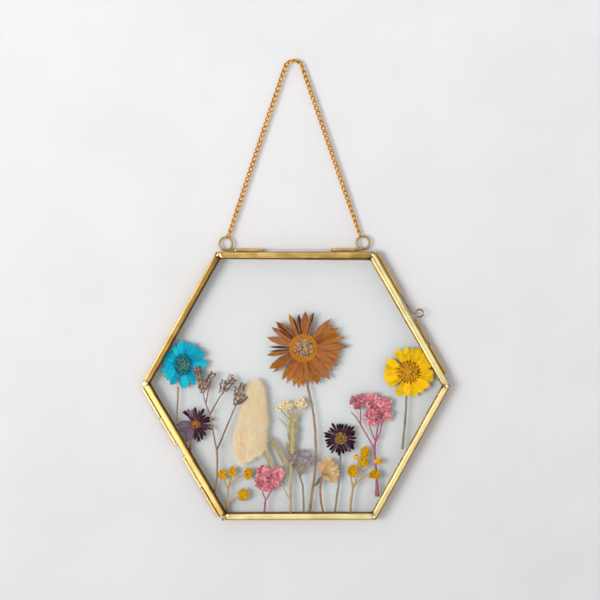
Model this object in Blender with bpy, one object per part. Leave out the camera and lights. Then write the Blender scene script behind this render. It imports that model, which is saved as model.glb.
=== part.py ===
"""Hexagonal hinged glass frame with pressed flowers, hanging on a fine chain.

All sizes are in millimetres until a mesh is written, which is in metres. A point of the frame is given as
(u, v, d): u to the right and v up from the middle of the frame, and d back from the plane where the two halves
meet. The world origin is where the chain rests on its peg.
"""

import math

import bpy
from mathutils import Vector
from mathutils.geometry import delaunay_2d_cdt

MM = 0.001
GAP = 0.3  # between pieces that touch in the real frame

# --- driving dimensions ---------------------------------------------------------------------------------

HANGER_DEPTH = 2.15  # the rings sit in the middle of the back half's side
FRAME_MIDDLE = Vector((1.6, -HANGER_DEPTH, -171.3))  # from the hang point

# The front half's outer corners, clockwise from the top left. The frame is bent by hand, so no two sides match.
FRONT_CORNERS = [(-42.6, 70.8), (41.1, 70.9), (81.3, 0.0), (42.1, -70.7), (-39.3, -70.9), (-81.8, 1.3)]
BACK_TOP_RIGHT = (41.1, 70.0)  # the back half's top strip droops a little to the right
BACK_CORNERS = [FRONT_CORNERS[0], BACK_TOP_RIGHT, *FRONT_CORNERS[2:]]
SIDE_NAMES = ["top", "upper_right", "lower_right", "bottom", "lower_left", "upper_left"]
UPPER_RIGHT = 1
LOWER_LEFT = 4

PARTING = 0.15  # each half starts this far from the parting plane
HALF_DEPTH = 4.0
BRASS = 0.5
FACE_WIDTH = 3.6
LIP_WIDTH = 1.5  # the inner flange, narrow so that petals reach under the outer face
EDGE_ROUND = 0.22
CROWN = 0.1  # how far the front face swells in its middle
MITRE_SHIFT = 0.18

GLASS_INSET = 1.0
GLASS_NEAR = PARTING + BRASS + GAP
GLASS_FAR = PARTING + HALF_DEPTH - BRASS - GAP

TUBE_RADIUS = 0.95
TUBE_BORE = 0.65
TUBE_SIDES = 12
TUBE_OFFSET = GAP + TUBE_RADIUS  # from the frame's outer edge to a tube's axis
PIN_RADIUS = 0.35

# Stretches along the lower left side, from the bottom corner up.
KNUCKLES = {
    "hinge_knuckle_back_lower": ("back", 2.5, 19.9),
    "hinge_knuckle_front_lower": ("front", 20.3, 39.1),
    "hinge_knuckle_front_upper": ("front", 46.2, 63.0),
    "hinge_knuckle_back_upper": ("back", 63.4, 81.0),
}
HINGE_PINS = {"hinge_pin_lower": (3.0, 38.6), "hinge_pin_upper": (46.7, 80.5)}

# Stretches along the upper right side, from the top corner down.
LATCH_TUBES = {
    "latch_guide_upper": ("front", 0.8, 26.3),
    "latch_guide_lower": ("front", 43.0, 55.9),
    "latch_keeper": ("back", 57.4, 74.7),
}
BOLT_RADIUS = 0.375
BOLT_TOP = 9.0
BOLT_TIP = 64.0
BOLT_EYE = (40.1, 4.9)  # along the side, and out from its edge
BOLT_EYE_RADIUS = 2.0
BOLT_NECK_DEG = 28

WIRE_RADIUS = 0.62
RING_RADIUS = 3.4
RING_END_DEG = 30  # the wire's free end stops this far below the ring's middle
HANGERS = {"hanger_ring_left": (-37.6, 75.25, -17.3, 71.85), "hanger_ring_right": (35.2, 75.8, 18.2, 72.0)}

CHAIN_RADIUS = 1.1
CHAIN_POINTS = 72
# The chain's middle line, (x, z) from the hang point.
CHAIN_ROUTE = [
    (-34.5, -91.7), (-28.6, -74.0), (-22.6, -56.1), (-16.6, -38.1), (-10.6, -20.2), (-7.0, -9.5), (-5.2, -4.3),
    (-4.1, -1.2), (-2.4, 0.5), (0.0, 1.1), (2.4, 0.5), (4.1, -1.2), (5.2, -4.2), (7.1, -9.6), (10.8, -20.2),
    (16.9, -38.0), (23.0, -55.8), (29.2, -73.7), (35.3, -91.2),
]  # fmt: skip

# Specimens lie in two layers between the panes. Those that cross lie in different ones.
BEHIND = (0.15, 0.65)
IN_FRONT = (-0.65, -0.15)
SPECIMEN_INSET = LIP_WIDTH + GAP

# --- materials ------------------------------------------------------------------------------------------

MATERIALS = {  # colour, roughness, metallic
    "brass": ((0.72, 0.50, 0.17), 0.30, 1.0),
    "wire_brass": ((0.52, 0.42, 0.20), 0.35, 1.0),
    "chain_gold": ((0.80, 0.50, 0.10), 0.25, 1.0),
    "glass": ((0.86, 0.92, 0.90), 0.02, 0.0),
    "blue_petal": ((0.02, 0.42, 0.62), 0.7, 0.0),
    "blue_disc": ((0.03, 0.20, 0.20), 0.9, 0.0),
    "plum_petal": ((0.10, 0.06, 0.10), 0.7, 0.0),
    "plum_disc": ((0.55, 0.22, 0.06), 0.9, 0.0),
    "dry_stem": ((0.38, 0.25, 0.15), 0.8, 0.0),
    "green_stem": ((0.42, 0.40, 0.22), 0.8, 0.0),
    "grass": ((0.83, 0.66, 0.42), 0.9, 0.0),
    "button_yellow": ((0.80, 0.48, 0.01), 0.85, 0.0),
    "pink": ((0.75, 0.22, 0.27), 0.85, 0.0),
    "pink_stem": ((0.50, 0.10, 0.20), 0.8, 0.0),
    "cream": ((0.78, 0.66, 0.38), 0.85, 0.0),
    "brown_petal": ((0.46, 0.18, 0.05), 0.7, 0.0),
    "brown_disc": ((0.50, 0.26, 0.06), 0.9, 0.0),
    "lilac": ((0.40, 0.32, 0.42), 0.85, 0.0),
    "straw": ((0.75, 0.48, 0.20), 0.8, 0.0),
    "maroon_petal": ((0.06, 0.01, 0.03), 0.7, 0.0),
    "maroon_disc": ((0.40, 0.20, 0.02), 0.9, 0.0),
    "yellow_petal": ((0.88, 0.60, 0.01), 0.7, 0.0),
    "yellow_disc": ((0.60, 0.25, 0.01), 0.9, 0.0),
}


def make_material(name):
    colour, roughness, metallic = MATERIALS[name]
    material = bpy.data.materials.new(name)
    material.use_nodes = True
    shader = material.node_tree.nodes["Principled BSDF"]
    shader.inputs["Base Color"].default_value = (*colour, 1.0)
    shader.inputs["Roughness"].default_value = roughness
    shader.inputs["Metallic"].default_value = metallic
    if name == "glass":
        shader.inputs["Transmission Weight"].default_value = 1.0
    return material


# --- placing --------------------------------------------------------------------------------------------


def make_empty(name, parent, place):
    empty = bpy.data.objects.new(name, None)
    bpy.context.scene.collection.objects.link(empty)
    empty.parent = parent
    empty.location = Vector(place) * MM
    empty.empty_display_size = 10 * MM
    return empty


def add(name, data, material, half):
    """Links a piece made in frame coordinates, under the empty of the half that it belongs to."""
    piece = bpy.data.objects.new(name, data)
    bpy.context.scene.collection.objects.link(piece)
    piece.data.materials.append(materials[material])
    piece.parent = half
    if half is not frame_middle:
        piece.location = -half.location
    return piece


def add_mesh(name, points, faces, material, half, smooth_deg=None):
    """A mesh from points in millimetres, as (u, v, d)."""
    mesh = bpy.data.meshes.new(name)
    mesh.from_pydata([(u * MM, d * MM, v * MM) for u, v, d in points], [], faces)
    if smooth_deg is not None:
        mesh.shade_smooth()
        mesh.set_sharp_from_angle(angle=math.radians(smooth_deg))
    return add(name, mesh, material, half)


# --- the frame's outline --------------------------------------------------------------------------------


def side_of(corners, index):
    """(start, end, direction, inward normal) of one side, as 2D vectors."""
    start = Vector(corners[index])
    end = Vector(corners[(index + 1) % len(corners)])
    along = (end - start).normalized()
    return start, end, along, Vector((along.y, -along.x))


def inset_corner(corners, index, inset):
    """The point that lies inset from both sides that meet at a corner."""
    before = side_of(corners, (index - 1) % len(corners))[3]
    after = side_of(corners, index)[3]
    return Vector(corners[index]) + (before + after) * (inset / (1 + before.dot(after)))


def on_side(index, along_side, out, depth=0.0):
    """A point at a distance along one side of the front half, and a distance out from its edge."""
    start, _, along, inward = side_of(FRONT_CORNERS, index)
    place = start + along * along_side - inward * out
    return (place.x, place.y, depth)


# --- metalwork and glass --------------------------------------------------------------------------------


def rail_profile(crown):
    """The U section of a strip, as (inset from the outer edge, distance from the parting plane)."""
    near = PARTING
    far = PARTING + HALF_DEPTH
    return [
        (0.0, near),
        (LIP_WIDTH, near),
        (LIP_WIDTH, near + BRASS),
        (BRASS, near + BRASS),
        (BRASS, far - BRASS),
        (FACE_WIDTH, far - BRASS),
        (FACE_WIDTH, far - EDGE_ROUND),
        (FACE_WIDTH - EDGE_ROUND, far),
        (FACE_WIDTH / 2, far + crown),
        (EDGE_ROUND, far),
        (0.0, far - EDGE_ROUND),
    ]


def add_rail(name, corners, index, outward, crown, half):
    """One mitred strip. outward is 1 for the back half and -1 for the front."""
    along = side_of(corners, index)[2]
    profile = rail_profile(crown)
    points = []
    for corner, shift in ((index, MITRE_SHIFT), (index + 1, -MITRE_SHIFT)):
        for inset, depth in profile:
            place = inset_corner(corners, corner % len(corners), inset) + along * shift
            points.append((place.x, place.y, depth * outward))
    count = len(profile)
    faces = [tuple(range(count)), tuple(range(2 * count - 1, count - 1, -1))]
    for near in range(count):
        following = (near + 1) % count
        faces.append((following, near, near + count, following + count))
    if outward > 0:
        faces = [face[::-1] for face in faces]
    return add_mesh(name, points, faces, "brass", half)


def add_glass(name, corners, outward, half):
    outline = [inset_corner(corners, index, GLASS_INSET) for index in range(len(corners))]
    depths = sorted((GLASS_NEAR * outward, GLASS_FAR * outward))
    return add_plate(name, [[tuple(p) for p in reversed(outline)]], depths, "glass", half, inset=None)


def ring_of(centre, across, up, radius, sides):
    turns = (2 * math.pi * k / sides for k in range(sides))
    return [centre + across * (radius * math.cos(t)) + up * (radius * math.sin(t)) for t in turns]


def add_tube(name, start, end, radius, bore, material, half, sides=TUBE_SIDES):
    """A straight tube between two (u, v, d) points, or a rod where bore is 0."""
    start, end = Vector(start), Vector(end)
    axis = (end - start).normalized()
    up = Vector((0.0, 0.0, 1.0))
    across = up.cross(axis)
    points = []
    for ring_radius in (radius, bore) if bore else (radius,):
        for centre in (start, end):
            points += ring_of(centre, across, up, ring_radius, sides)
    faces = []
    for k in range(sides):
        j = (k + 1) % sides
        faces.append((k, k + sides, j + sides, j))
        if bore:
            faces.append((k + 2 * sides, j + 2 * sides, j + 3 * sides, k + 3 * sides))
            faces.append((k, j, j + 2 * sides, k + 2 * sides))
            faces.append((k + sides, k + 3 * sides, j + 3 * sides, j + sides))
    if not bore:
        faces.append(tuple(range(sides)))
        faces.append(tuple(range(2 * sides - 1, sides - 1, -1)))
    return add_mesh(name, points, faces, material, half, smooth_deg=40)


def add_wire(name, points, radius, material, half):
    """A bent round wire along points, as (u, v, d)."""
    curve = bpy.data.curves.new(name, "CURVE")
    curve.dimensions = "3D"
    curve.bevel_depth = radius * MM
    curve.bevel_resolution = 2
    curve.use_fill_caps = True
    spline = curve.splines.new("POLY")
    spline.points.add(len(points) - 1)
    for slot, (u, v, d) in zip(spline.points, points):
        slot.co = (u * MM, d * MM, v * MM, 1.0)
    return add(name, curve, material, half)


def arc(centre, radius, first_deg, last_deg, step_deg=15):
    count = max(2, math.ceil(abs(last_deg - first_deg) / step_deg))
    turns = [math.radians(first_deg + (last_deg - first_deg) * k / count) for k in range(count + 1)]
    return [(centre[0] + radius * math.cos(t), centre[1] + radius * math.sin(t)) for t in turns]


def smooth_points(route, count):
    """count points, evenly spread in parameter, on a Catmull-Rom curve through a route."""
    padded = [2 * Vector(route[0]) - Vector(route[1])]
    padded += [Vector(point) for point in route]
    padded.append(2 * Vector(route[-1]) - Vector(route[-2]))
    found = []
    for k in range(count):
        at = (len(route) - 1) * k / (count - 1)
        index = min(int(at), len(route) - 2)
        t = at - index
        a, b, c, d = padded[index : index + 4]
        found.append(0.5 * (2 * b + (c - a) * t + (2 * a - 5 * b + 4 * c - d) * t**2 + (3 * b - 3 * c + d - a) * t**3))
    return found


def add_hanger(name, ring_u, ring_v, tail_u, tail_v):
    """A ring whose wire runs off along the top edge, towards the middle of the frame."""
    inward = 1 if tail_u > ring_u else -1
    ring = arc((0, 0), RING_RADIUS, -90, -360 - RING_END_DEG, 12)
    tail_end = ring_u + inward * RING_RADIUS * 0.9
    line = [(tail_u, tail_v), ((tail_u + tail_end) / 2, tail_v), (tail_end, tail_v)]
    line += [(ring_u + inward * u, ring_v + v) for u, v in ring]
    return add_wire(name, [(u, v, HANGER_DEPTH) for u, v in line], WIRE_RADIUS, "wire_brass", frame_middle)


def bolt_line():
    """The bolt's wire as (along the side, out from its edge): straight, round the eye, and straight on."""
    eye = arc(BOLT_EYE, BOLT_EYE_RADIUS, -90 - BOLT_NECK_DEG, -450 + BOLT_NECK_DEG, 14)
    before = [(BOLT_TOP, TUBE_OFFSET), (24.0, TUBE_OFFSET), (36.6, TUBE_OFFSET)]
    before += [(37.5, TUBE_OFFSET + 0.08), (38.3, 1.65), (38.9, 2.35)]
    after = [(41.3, 2.35), (41.6, 1.75), (42.0, 1.4), (42.6, TUBE_OFFSET), (54.0, TUBE_OFFSET)]
    return before + eye + after + [(BOLT_TIP, TUBE_OFFSET)]


# --- pressed plants -------------------------------------------------------------------------------------


def clipped(outline, inset):
    """An outline cut back to the part of the pane that shows, so that it stays clear of the strips."""
    for index in range(len(BACK_CORNERS)):
        start, _, _, inward = side_of(BACK_CORNERS, index)
        kept = []
        for k, point in enumerate(outline):
            previous = outline[k - 1]
            here = (Vector(point) - start).dot(inward) - inset
            there = (Vector(previous) - start).dot(inward) - inset
            if here * there < 0:
                share = there / (there - here)
                kept.append(tuple(Vector(previous).lerp(Vector(point), share)))
            if here >= 0:
                kept.append(point)
        outline = kept
    return outline


def add_plate(name, outlines, depths, material, half, inset=SPECIMEN_INSET):
    """A flat piece whose shape is the union of outlines that overlap, between two depths."""
    if inset is not None:
        outlines = [clipped(outline, inset) for outline in outlines]
    flat = [point for outline in outlines for point in outline]
    loops = []
    first = 0
    for outline in outlines:
        loops.append(list(range(first, first + len(outline))))
        first += len(outline)
    places, _, triangles, _, _, sources = delaunay_2d_cdt([Vector(p) for p in flat], [], loops, 0, 0.01)
    kept = [triangle for triangle, source in zip(triangles, sources) if source]
    edges = {}
    for triangle in kept:
        for k in range(3):
            edge = (triangle[k], triangle[(k + 1) % 3])
            edges[edge] = edges.get(edge, 0) + 1
    count = len(places)
    near, far = sorted(depths)
    points = [(p.x, p.y, near) for p in places] + [(p.x, p.y, far) for p in places]
    faces = [tuple(t) for t in kept] + [tuple(k + count for k in reversed(t)) for t in kept]
    faces += [(b, a, a + count, b + count) for a, b in edges if (b, a) not in edges]
    used = sorted({k for face in faces for k in face})
    renumbered = {old: new for new, old in enumerate(used)}
    points = [points[k] for k in used]
    faces = [tuple(renumbered[k] for k in face) for face in faces]
    return add_mesh(name, points, faces, material, half)


def strip(points, widths):
    """The outline of a stem or a leaf along points, with a width at each."""
    line = [Vector(p) for p in points]
    left, right = [], []
    for k, place in enumerate(line):
        along = (line[min(k + 1, len(line) - 1)] - line[max(k - 1, 0)]).normalized()
        aside = Vector((-along.y, along.x)) * (widths[k] / 2)
        left.append(tuple(place + aside))
        right.append(tuple(place - aside))
    return right + left[::-1]


def oval(u, v, half_width, half_height, turn_deg=0, sides=12):
    turn = math.radians(turn_deg)
    found = []
    for k in range(sides):
        t = 2 * math.pi * k / sides
        across, up = half_width * math.cos(t), half_height * math.sin(t)
        found.append(
            (u + across * math.cos(turn) - up * math.sin(turn), v + across * math.sin(turn) + up * math.cos(turn))
        )
    return found


def petal(centre, turn_deg, root, length, width):
    """A pointed petal that starts root from the flower's centre."""
    turn = math.radians(turn_deg)
    out = Vector((math.cos(turn), math.sin(turn)))
    aside = Vector((-out.y, out.x))
    shape = [(root, -0.3), (0.72 * length, -0.5), (length, -0.14), (length, 0.14), (0.72 * length, 0.5), (root, 0.3)]
    return [tuple(Vector(centre) + out * along + aside * (width * across)) for along, across in shape]


def even_petals(count, first_deg, last_deg, length):
    """Petals evenly spread over an arc, every third one a little shorter."""
    step = (last_deg - first_deg) / count
    return [(first_deg + step * k, length * (0.93 if k % 3 == 1 else 1.0)) for k in range(count)]


def add_daisy(name, centre, petals, petal_width, disc_radius, stem, stem_widths, stem_material):
    """A flat ring of petals, the disc on it, and the stem below, which starts at the petals' edge."""
    outlines = [oval(*centre, disc_radius, disc_radius, sides=14)]
    outlines += [petal(centre, turn, 0.6 * disc_radius, length, petal_width) for turn, length in petals]
    add_plate(f"{name}_petals", outlines, BEHIND, f"{name.split('_')[0]}_petal", frame_middle)
    disc = [oval(*centre, disc_radius, disc_radius, sides=16)]
    add_plate(f"{name}_disc", disc, IN_FRONT, f"{name.split('_')[0]}_disc", frame_middle)
    add_plate(f"{name}_stem", [strip(stem, stem_widths)], BEHIND, stem_material, frame_middle)


def add_daisies():
    add_daisy(
        "blue_daisy", (-60.2, 11.2), even_petals(17, 8, 368, 12.6), 4.3, 4.5,
        [(-62.9, -2.0), (-63.0, -9.0), (-63.2, -17.6)], [0.9, 0.8, 0.8], "dry_stem",
    )  # fmt: skip
    crumpled = [
        (180, 10.4), (158, 7.4), (236, 10.0), (119, 8.5), (100, 7.0), (85, 8.3), (66, 8.2), (34, 8.8), (10, 8.2),
        (-9, 9.2), (-28, 8.4), (-49, 9.4), (-64, 10.4), (-85, 8.3), (208, 8.0),
    ]  # fmt: skip
    add_daisy(
        "plum_daisy", (-53.5, -20.4), crumpled, 3.2, 2.3,
        [(-56.1, -29.0), (-56.3, -32.0), (-56.3, -35.0)], [1.0, 1.0, 0.8], "pink_stem",
    )  # fmt: skip
    add_daisy(
        "brown_daisy", (3.6, 20.2), even_petals(28, 76, 418, 21.4), 3.4, 7.6,
        [(6.0, -1.8), (8.1, -12.0), (9.8, -26.0), (10.0, -36.1), (9.3, -44.6), (8.5, -53.1), (6.8, -68.0)],
        [1.2, 1.2, 1.3, 1.3, 1.4, 1.4, 1.6], "dry_stem",
    )  # fmt: skip
    add_daisy(
        "maroon_daisy", (23.5, -27.9), even_petals(22, 0, 360, 9.4), 1.9, 2.9,
        [(23.3, -37.7), (22.7, -44.7), (21.7, -55.3), (20.1, -68.0)], [0.9, 0.9, 1.0, 1.1], "green_stem",
    )  # fmt: skip
    add_daisy(
        "yellow_daisy", (59.6, 7.4), even_petals(16, 4, 364, 13.5), 4.8, 5.5,
        [(58.0, -6.4), (57.8, -15.4), (56.1, -33.6)], [1.1, 1.1, 1.1], "green_stem",
    )  # fmt: skip


def add_sea_lavender():
    stem = strip([(-43.4, -58.0), (-42.6, -52.0), (-41.9, -46.0), (-42.2, -34.0)], [1.0, 1.1, 1.1, 1.3])
    add_plate("sea_lavender_stem", [stem], IN_FRONT, "dry_stem", frame_middle)
    left = [
        strip([(-42.8, -33.4), (-44.8, -21.0), (-46.0, -15.3)], [0.8, 0.9, 0.9]),
        strip([(-46.0, -15.8), (-48.7, -7.7), (-50.1, -1.8), (-51.0, 4.0)], [0.8, 0.8, 0.8, 0.8]),
        strip([(-46.0, -15.8), (-40.5, -5.1), (-37.4, -1.8), (-33.8, 1.2)], [0.8, 0.8, 0.8, 0.8]),
        oval(-47.4, 3.2, 3.8, 5.6, 15, sides=10),
        oval(-52.0, 8.6, 1.6, 2.2, 50, sides=8),
        strip([(-52.0, 8.6), (-49.0, 5.0)], [1.6, 2.0]),
        oval(-38.9, -0.6, 2.4, 2.3, 20, sides=8),
        oval(-34.4, 2.4, 1.7, 2.6, 0, sides=8),
    ]
    add_plate("sea_lavender_left_branch", left, IN_FRONT, "dry_stem", frame_middle)
    right = [
        strip([(-41.6, -33.4), (-37.4, -22.5), (-32.5, -10.7), (-30.6, -6.0)], [0.8, 0.8, 0.8, 0.8]),
        oval(-29.4, -4.4, 2.3, 5.8, 14, sides=10),
    ]
    add_plate("sea_lavender_right_branch", right, IN_FRONT, "dry_stem", frame_middle)


def add_bunny_tail():
    outline = [
        (-33.0, -40.8), (-24.7, -41.6), (-20.6, -39.0), (-18.2, -36.4), (-17.8, -28.8), (-16.4, -26.0),
        (-16.1, -19.8), (-17.0, -10.8), (-17.3, 0.3), (-19.4, 4.0), (-21.8, 5.0), (-25.4, 0.8), (-27.8, -4.0),
        (-30.2, -14.4), (-33.4, -21.0), (-34.2, -33.0),
    ]  # fmt: skip
    add_plate("bunny_tail_head", [outline], BEHIND, "grass", frame_middle)


def add_left_buttons():
    outlines = [
        strip([(-36.9, -68.0), (-36.6, -62.2), (-36.1, -54.3), (-35.3, -51.6), (-34.4, -47.0)], [1.2, 1.1, 1.0, 1.0, 0.8]),
        strip([(-36.2, -54.6), (-37.6, -50.6), (-38.8, -47.8)], [0.9, 0.9, 0.9]),
        strip([(-35.7, -53.2), (-31.5, -49.2), (-27.0, -46.8)], [0.9, 0.8, 0.8]),
        strip([(-36.6, -62.4), (-34.0, -60.4), (-30.5, -58.6)], [0.9, 0.8, 0.8]),
        oval(-39.0, -47.1, 2.5, 2.9, sides=10),
        oval(-34.1, -45.6, 2.2, 3.5, sides=10),
        oval(-25.5, -46.6, 2.6, 3.7, sides=10),
        oval(-28.3, -57.8, 3.7, 4.3, sides=12),
    ]
    add_plate("yellow_buttons_left", outlines, BEHIND, "button_yellow", frame_middle)


def add_small_pink():
    head = [
        oval(-16.3, -47.6, 4.0, 4.6, sides=12),
        oval(-10.2, -47.0, 2.9, 3.0, sides=10),
        oval(-17.0, -51.9, 3.3, 3.6, sides=10),
        oval(-13.2, -50.2, 3.2, 3.2, sides=10),
    ]
    add_plate("small_pink_head", head, IN_FRONT, "pink", frame_middle)
    stem = [
        strip([(-17.0, -68.0), (-16.8, -63.5), (-16.4, -60.6)], [1.0, 0.9, 0.9]),
        strip([(-16.5, -61.2), (-18.2, -55.9)], [0.8, 0.7]),
        strip([(-16.5, -61.2), (-14.2, -57.0), (-12.4, -53.9)], [0.8, 0.7, 0.7]),
    ]
    add_plate("small_pink_stem", stem, IN_FRONT, "pink_stem", frame_middle)


def add_cream_everlasting():
    plant = [
        strip(
            [(-1.6, -14.0), (-1.9, -22.0), (-2.4, -32.0), (-2.8, -40.4), (-3.1, -51.0), (-3.1, -68.0)],
            [4.0, 3.8, 3.2, 2.6, 1.6, 1.2],
        ),
        strip([(-2.6, -25.5), (-4.6, -21.8), (-9.6, -16.8)], [1.2, 1.1, 0.6]),
        oval(-6.2, -10.6, 5.0, 2.5, 22, sides=12),
        oval(2.0, -9.6, 3.5, 3.6, 0, sides=10),
        strip([(-2.0, -10.5), (-1.7, -16.0)], [7.0, 3.8]),
    ]
    add_plate("cream_everlasting", plant, BEHIND, "cream", frame_middle)
    long_leaf = strip(
        [(-14.4, -27.6), (-12.6, -29.4), (-9.7, -34.5), (-7.2, -39.1), (-5.7, -43.4), (-4.9, -47.4)],
        [1.8, 2.4, 2.3, 1.9, 1.2, 0.8],
    )
    add_plate("cream_leaf_right", [long_leaf], BEHIND, "green_stem", frame_middle)
    short_leaf = strip(
        [(-15.9, -29.6), (-15.8, -34.4), (-14.6, -39.5), (-12.4, -43.4), (-9.5, -49.2), (-6.7, -54.3), (-4.9, -57.4)],
        [1.4, 2.0, 2.0, 1.6, 0.9, 0.8, 0.7],
    )
    add_plate("cream_leaf_left", [short_leaf], BEHIND, "green_stem", frame_middle)


def add_lilac():
    head = [
        oval(0.2, -38.4, 3.8, 3.8, sides=12),
        oval(5.0, -38.2, 4.6, 4.3, sides=12),
    ]
    add_plate("lilac_statice_head", head, IN_FRONT, "lilac", frame_middle)
    stem = [
        strip([(-0.4, -42.8), (1.5, -48.4), (2.9, -52.7), (3.7, -68.0)], [0.9, 0.9, 1.0, 1.0]),
        strip([(5.0, -43.0), (2.6, -47.0), (1.7, -49.4)], [0.8, 0.8, 0.8]),
    ]
    add_plate("lilac_statice_stem", stem, IN_FRONT, "green_stem", frame_middle)


def add_straw_flower():
    head = [
        (11.9, -38.4), (12.1, -42.6), (13.5, -46.3), (15.6, -47.6), (18.2, -50.0), (20.4, -49.5), (22.2, -45.8),
        (21.9, -42.1), (19.8, -38.9), (15.6, -37.3),
    ]  # fmt: skip
    add_plate("straw_flower_head", [head], IN_FRONT, "straw", frame_middle)
    stem = [
        strip([(14.2, -47.6), (12.7, -52.2), (12.8, -59.0), (14.3, -68.0)], [1.0, 1.0, 1.1, 1.0]),
        strip([(13.6, -48.9), (11.6, -50.6), (9.2, -53.4)], [1.0, 1.9, 0.5]),
    ]
    add_plate("straw_flower_stem", stem, IN_FRONT, "dry_stem", frame_middle)


def add_right_buttons():
    outlines = [
        strip([(28.4, -68.0), (29.0, -60.0), (29.6, -53.7), (29.6, -46.0)], [1.2, 1.1, 1.0, 0.9]),
        strip([(29.6, -54.2), (32.0, -50.0), (34.6, -42.0)], [0.9, 0.9, 0.9]),
        strip([(29.6, -54.2), (33.9, -49.4), (40.0, -46.8)], [0.9, 0.9, 0.9]),
        strip([(33.0, -46.6), (38.0, -43.2), (43.0, -40.0)], [0.8, 0.8, 0.8]),
        strip([(31.6, -37.8), (34.4, -40.6)], [0.9, 0.9]),
        oval(36.4, -35.2, 2.9, 3.8, -10, sides=10),
        oval(34.8, -40.8, 3.2, 2.8, 30, sides=10),
        oval(29.6, -45.0, 3.0, 4.3, 0, sides=10),
        oval(31.5, -37.7, 1.2, 1.2, sides=8),
        oval(43.4, -39.9, 2.0, 1.7, sides=8),
        oval(41.2, -46.8, 3.7, 3.0, sides=10),
    ]
    add_plate("yellow_buttons_right", outlines, IN_FRONT, "button_yellow", frame_middle)


def add_tall_pink():
    head = [
        oval(39.7, -8.2, 2.6, 3.6, sides=10),
        oval(46.4, -12.6, 4.1, 5.0, sides=12),
        oval(40.2, -16.4, 3.3, 3.8, sides=10),
        oval(42.6, -12.9, 3.0, 4.6, sides=10),
    ]
    add_plate("tall_pink_head", head, BEHIND, "pink", frame_middle)
    stem = [
        strip(
            [(43.4, -21.4), (42.6, -28.0), (41.3, -34.0), (41.9, -42.5), (42.4, -49.0), (42.9, -58.8)],
            [0.9, 1.1, 1.2, 1.3, 1.3, 1.5],
        ),
        strip([(38.4, -21.2), (41.9, -29.4)], [0.7, 0.9]),
        strip([(45.4, -20.6), (44.6, -24.4), (42.5, -29.0)], [0.8, 0.8, 0.8]),
    ]
    add_plate("tall_pink_stem", stem, BEHIND, "pink_stem", frame_middle)
    twig = [
        strip([(32.6, -8.2), (33.7, -13.5), (33.9, -20.7), (36.8, -25.6), (39.9, -30.6)], [0.8, 0.8, 0.8, 0.8, 0.7]),
        strip([(28.6, -13.6), (33.9, -21.0)], [0.6, 0.8]),
        oval(32.3, -8.2, 3.4, 2.9, sides=10),
    ]
    add_plate("tall_pink_left_twig", twig, BEHIND, "pink", frame_middle)


# --- assembly -------------------------------------------------------------------------------------------


def add_halves():
    halves = (("back", BACK_CORNERS, 1, 0.0, frame_middle), ("front", FRONT_CORNERS, -1, CROWN, hinge_axis))
    for name, corners, outward, crown, half in halves:
        for index, side in enumerate(SIDE_NAMES):
            add_rail(f"{name}_rail_{side}", corners, index, outward, crown, half)
        add_glass(f"{name}_glass", corners, outward, half)


def add_hinge():
    halves = {"back": frame_middle, "front": hinge_axis}
    for name, (half, start, end) in KNUCKLES.items():
        ends = [on_side(LOWER_LEFT, at, TUBE_OFFSET) for at in (start, end)]
        add_tube(name, *ends, TUBE_RADIUS, TUBE_BORE, "brass", halves[half])
    for name, (start, end) in HINGE_PINS.items():
        ends = [on_side(LOWER_LEFT, at, TUBE_OFFSET) for at in (start, end)]
        add_tube(name, *ends, PIN_RADIUS, 0, "wire_brass", frame_middle, sides=8)


def add_latch():
    halves = {"back": frame_middle, "front": hinge_axis}
    for name, (half, start, end) in LATCH_TUBES.items():
        ends = [on_side(UPPER_RIGHT, at, TUBE_OFFSET) for at in (start, end)]
        add_tube(name, *ends, TUBE_RADIUS, TUBE_BORE, "brass", halves[half])
    line = [on_side(UPPER_RIGHT, along, out) for along, out in bolt_line()]
    add_wire("latch_bolt", line, BOLT_RADIUS, "wire_brass", bolt_axis)


def add_chain():
    line = smooth_points(CHAIN_ROUTE, CHAIN_POINTS)
    middle_u, _, middle_v = FRAME_MIDDLE
    add_wire(
        "chain", [(x - middle_u, z - middle_v, HANGER_DEPTH) for x, z in line], CHAIN_RADIUS, "chain_gold", frame_middle
    )


for old in list(bpy.data.objects):
    bpy.data.objects.remove(old)
materials = {name: make_material(name) for name in MATERIALS}

frame_middle = make_empty("frame_middle", None, FRAME_MIDDLE)
hinge_place = on_side(LOWER_LEFT, 42.0, TUBE_OFFSET)
bolt_place = on_side(UPPER_RIGHT, BOLT_EYE[0], TUBE_OFFSET)
hinge_axis = make_empty("hinge_axis", frame_middle, (hinge_place[0], hinge_place[2], hinge_place[1]))
bolt_axis = make_empty("bolt_axis", frame_middle, (bolt_place[0], bolt_place[2], bolt_place[1]))

add_halves()
add_hinge()
add_latch()
for hanger, sizes in HANGERS.items():
    add_hanger(hanger, *sizes)
add_chain()
add_daisies()
add_sea_lavender()
add_bunny_tail()
add_left_buttons()
add_small_pink()
add_cream_everlasting()
add_lilac()
add_straw_flower()
add_right_buttons()
add_tall_pink()
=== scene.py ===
"""Looks of the pressed flower frame: brass strips, panes, chain and flowers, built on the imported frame.

Positions on the frame are (u, v, d) in millimetres: u right and v up from its middle, and d back from the
plane where the two halves meet.
"""

import math
import random

import bpy
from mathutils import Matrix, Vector, noise

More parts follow.
